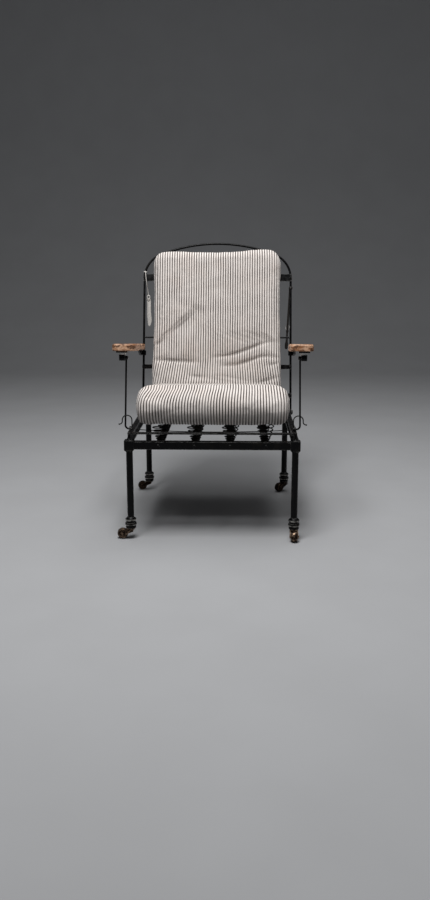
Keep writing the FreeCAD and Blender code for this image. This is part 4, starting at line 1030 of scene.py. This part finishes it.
class CHAIR_OT_iron(bpy.types.Operator):
    """Old black paint on the frame, the back, the brackets, rods and catches"""

    bl_idname = "chair.iron"
    bl_label = "Painted iron"
    # Width of the pale edges, partly wear and partly painted highlight, in metres
    bar_wear, rivet_wear = 0.0026, 0.0004

    def execute(self, context):
        finish_nodes({"black_iron"}, black_iron("painted_iron", self.bar_wear))
        rivets = black_iron("painted_rivets", self.rivet_wear)
        for name in ("frame_rivets", "back_rivets"):
            dress(NODES[name], rivets)
        return {"FINISHED"}


class CHAIR_OT_springs(bpy.types.Operator):
    """Blackened wire of the seat springs and their ties"""

    bl_idname = "chair.springs"
    bl_label = "Springs"

    def execute(self, context):
        finish_nodes({"spring_wire"}, spring_wire())
        return {"FINISHED"}


class CHAIR_OT_arms(bpy.types.Operator):
    """Worn wood of the two arms, and bright steel of the washers under them and of the strap's buckle"""

    bl_idname = "chair.arms"
    bl_label = "Arms"

    def execute(self, context):
        finish_nodes({"arm_wood"}, worn_wood())
        finish_nodes({"steel"}, bright_steel())
        return {"FINISHED"}


class CHAIR_OT_casters(bpy.types.Operator):
    """Tarnished brass of the four casters and their axles, with painted shade making the rear ones darker"""

    bl_idname = "chair.casters"
    bl_label = "Casters"
    # Levels of the noise from which the brass is brown; the rear's lower level darkens the rear casters as painted
    # shade
    front_level, rear_level = 0.36, 0.18

    def execute(self, context):
        named = [name for name in SLOT_OF if "_caster_" in name]
        if not named:
            raise RuntimeError("the frame has no caster")
        front = tarnished_brass("tarnished_brass", self.front_level)
        # Painted shade: a darker copy of the brass for the rear casters
        rear = tarnished_brass("painted_shade_brass", self.rear_level)
        for name in named:
            dress(NODES[name], rear if name.startswith("rear_") else front)
        return {"FINISHED"}


class CHAIR_OT_stage(bpy.types.Operator):
    """Pale floor and backdrop, soft lights, sky and camera"""

    bl_idname = "chair.stage"
    bl_label = "Studio"
    # Floor's width, backdrop's height and the curve between them, in metres
    floor_width, backdrop_height, cove = 14.0, 9.0, 3.0
    sky_colour, sky_strength = (0.90, 0.92, 0.95, 1.0), 0.08
    # Lamps by name, place, size in metres and power in watts, all aimed at one point
    lamps = (
        ("key", (-0.3, -1.35, 3.45), 1.5, 113.0),
        ("top", (0.3, 0.6, 3.4), 2.4, 42.0),
    )
    aim = Vector((0, 0, 0.55))
    picture_height = 36.0

    def execute(self, context):
        self.floor()
        self.lights()
        self.camera()
        return {"FINISHED"}

    def floor(self):
        bpy.ops.object.select_all(action="DESELECT")
        bpy.ops.mesh.primitive_plane_add(size=self.floor_width, location=(0, 0, FLOOR_Z))
        ground = bpy.context.object
        ground.name = "studio_floor"
        settle(ground)
        for vertex in ground.data.vertices:
            vertex.select = vertex.co.y > 0
        for edge in ground.data.edges:
            edge.select = all(ground.data.vertices[index].select for index in edge.vertices)
        for face in ground.data.polygons:
            face.select = False
        bpy.ops.object.mode_set(mode="EDIT")
        bpy.ops.mesh.extrude_region_move(TRANSFORM_OT_translate={"value": (0, 0, self.backdrop_height)})
        bpy.ops.mesh.select_all(action="SELECT")
        bpy.ops.object.mode_set(mode="OBJECT")
        finish_with(ground, "BEVEL", width=self.cove, segments=24, limit_method="ANGLE")
        smooth(ground)
        dress(ground, studio_floor())

    def lights(self):
        world = bpy.data.worlds.new("studio")
        world.use_nodes = True
        background = world.node_tree.nodes["Background"]
        background.inputs["Color"].default_value = self.sky_colour
        background.inputs["Strength"].default_value = self.sky_strength
        bpy.context.scene.world = world
        for row in self.lamps:
            self.lamp(*row)

    def lamp(self, name, place, size, power):
        bpy.ops.object.light_add(type="AREA", location=place)
        lamp = bpy.context.object
        lamp.name = name
        lamp.data.size = size
        lamp.data.energy = power
        lamp.rotation_euler = (self.aim - lamp.location).to_track_quat("-Z", "Y").to_euler()

    def camera(self):
        size = sizes()
        bpy.ops.object.camera_add(location=size.camera_place)
        camera = bpy.context.object
        camera.name = "camera"
        camera.rotation_euler = (math.pi / 2 - size.camera_tilt, 0, size.camera_turn)
        camera.data.lens = size.camera_lens
        camera.data.sensor_width = self.picture_height
        bpy.context.scene.camera = camera


class CHAIR_PT_panel(bpy.types.Panel):
    """Steps of the chair's making, with its sizes and colours"""

    bl_idname = "CHAIR_PT_panel"
    bl_label = "Campaign chair"
    bl_space_type = "VIEW_3D"
    bl_region_type = "UI"
    bl_category = "Chair"

    def draw(self, context):
        for operator in OPERATORS:
            self.layout.operator(operator.bl_idname)
        for group in (context.scene.chair_sizes, context.scene.chair_colours):
            for name in group.bl_rna.properties.keys():
                if name not in ("rna_type", "name"):
                    self.layout.prop(group, name)


OPERATORS = (
    CHAIR_OT_stage,
    CHAIR_OT_iron,
    CHAIR_OT_springs,
    CHAIR_OT_arms,
    CHAIR_OT_casters,
    CHAIR_OT_seat_mattress,
    CHAIR_OT_back_mattress,
    CHAIR_OT_cotton_tape,
    CHAIR_OT_leather_strap,
)
GROUPS = (ChairSizes, ChairColours)


def register():
    for part in GROUPS + OPERATORS + (CHAIR_PT_panel,):
        bpy.utils.register_class(part)
    bpy.types.Scene.chair_sizes = bpy.props.PointerProperty(type=ChairSizes)
    bpy.types.Scene.chair_colours = bpy.props.PointerProperty(type=ChairColours)


def unregister():
    del bpy.types.Scene.chair_colours
    del bpy.types.Scene.chair_sizes
    for part in reversed(GROUPS + OPERATORS + (CHAIR_PT_panel,)):
        bpy.utils.unregister_class(part)


def main():
    register()
    bpy.context.scene.view_settings.view_transform = "Standard"
    bpy.ops.chair.stage()
    bpy.ops.chair.iron()
    bpy.ops.chair.springs()
    bpy.ops.chair.arms()
    bpy.ops.chair.casters()
    bpy.ops.chair.seat_mattress()
    bpy.ops.chair.back_mattress()
    bpy.ops.chair.cotton_tape()
    bpy.ops.chair.leather_strap()


if __name__ == "__main__":
    main()
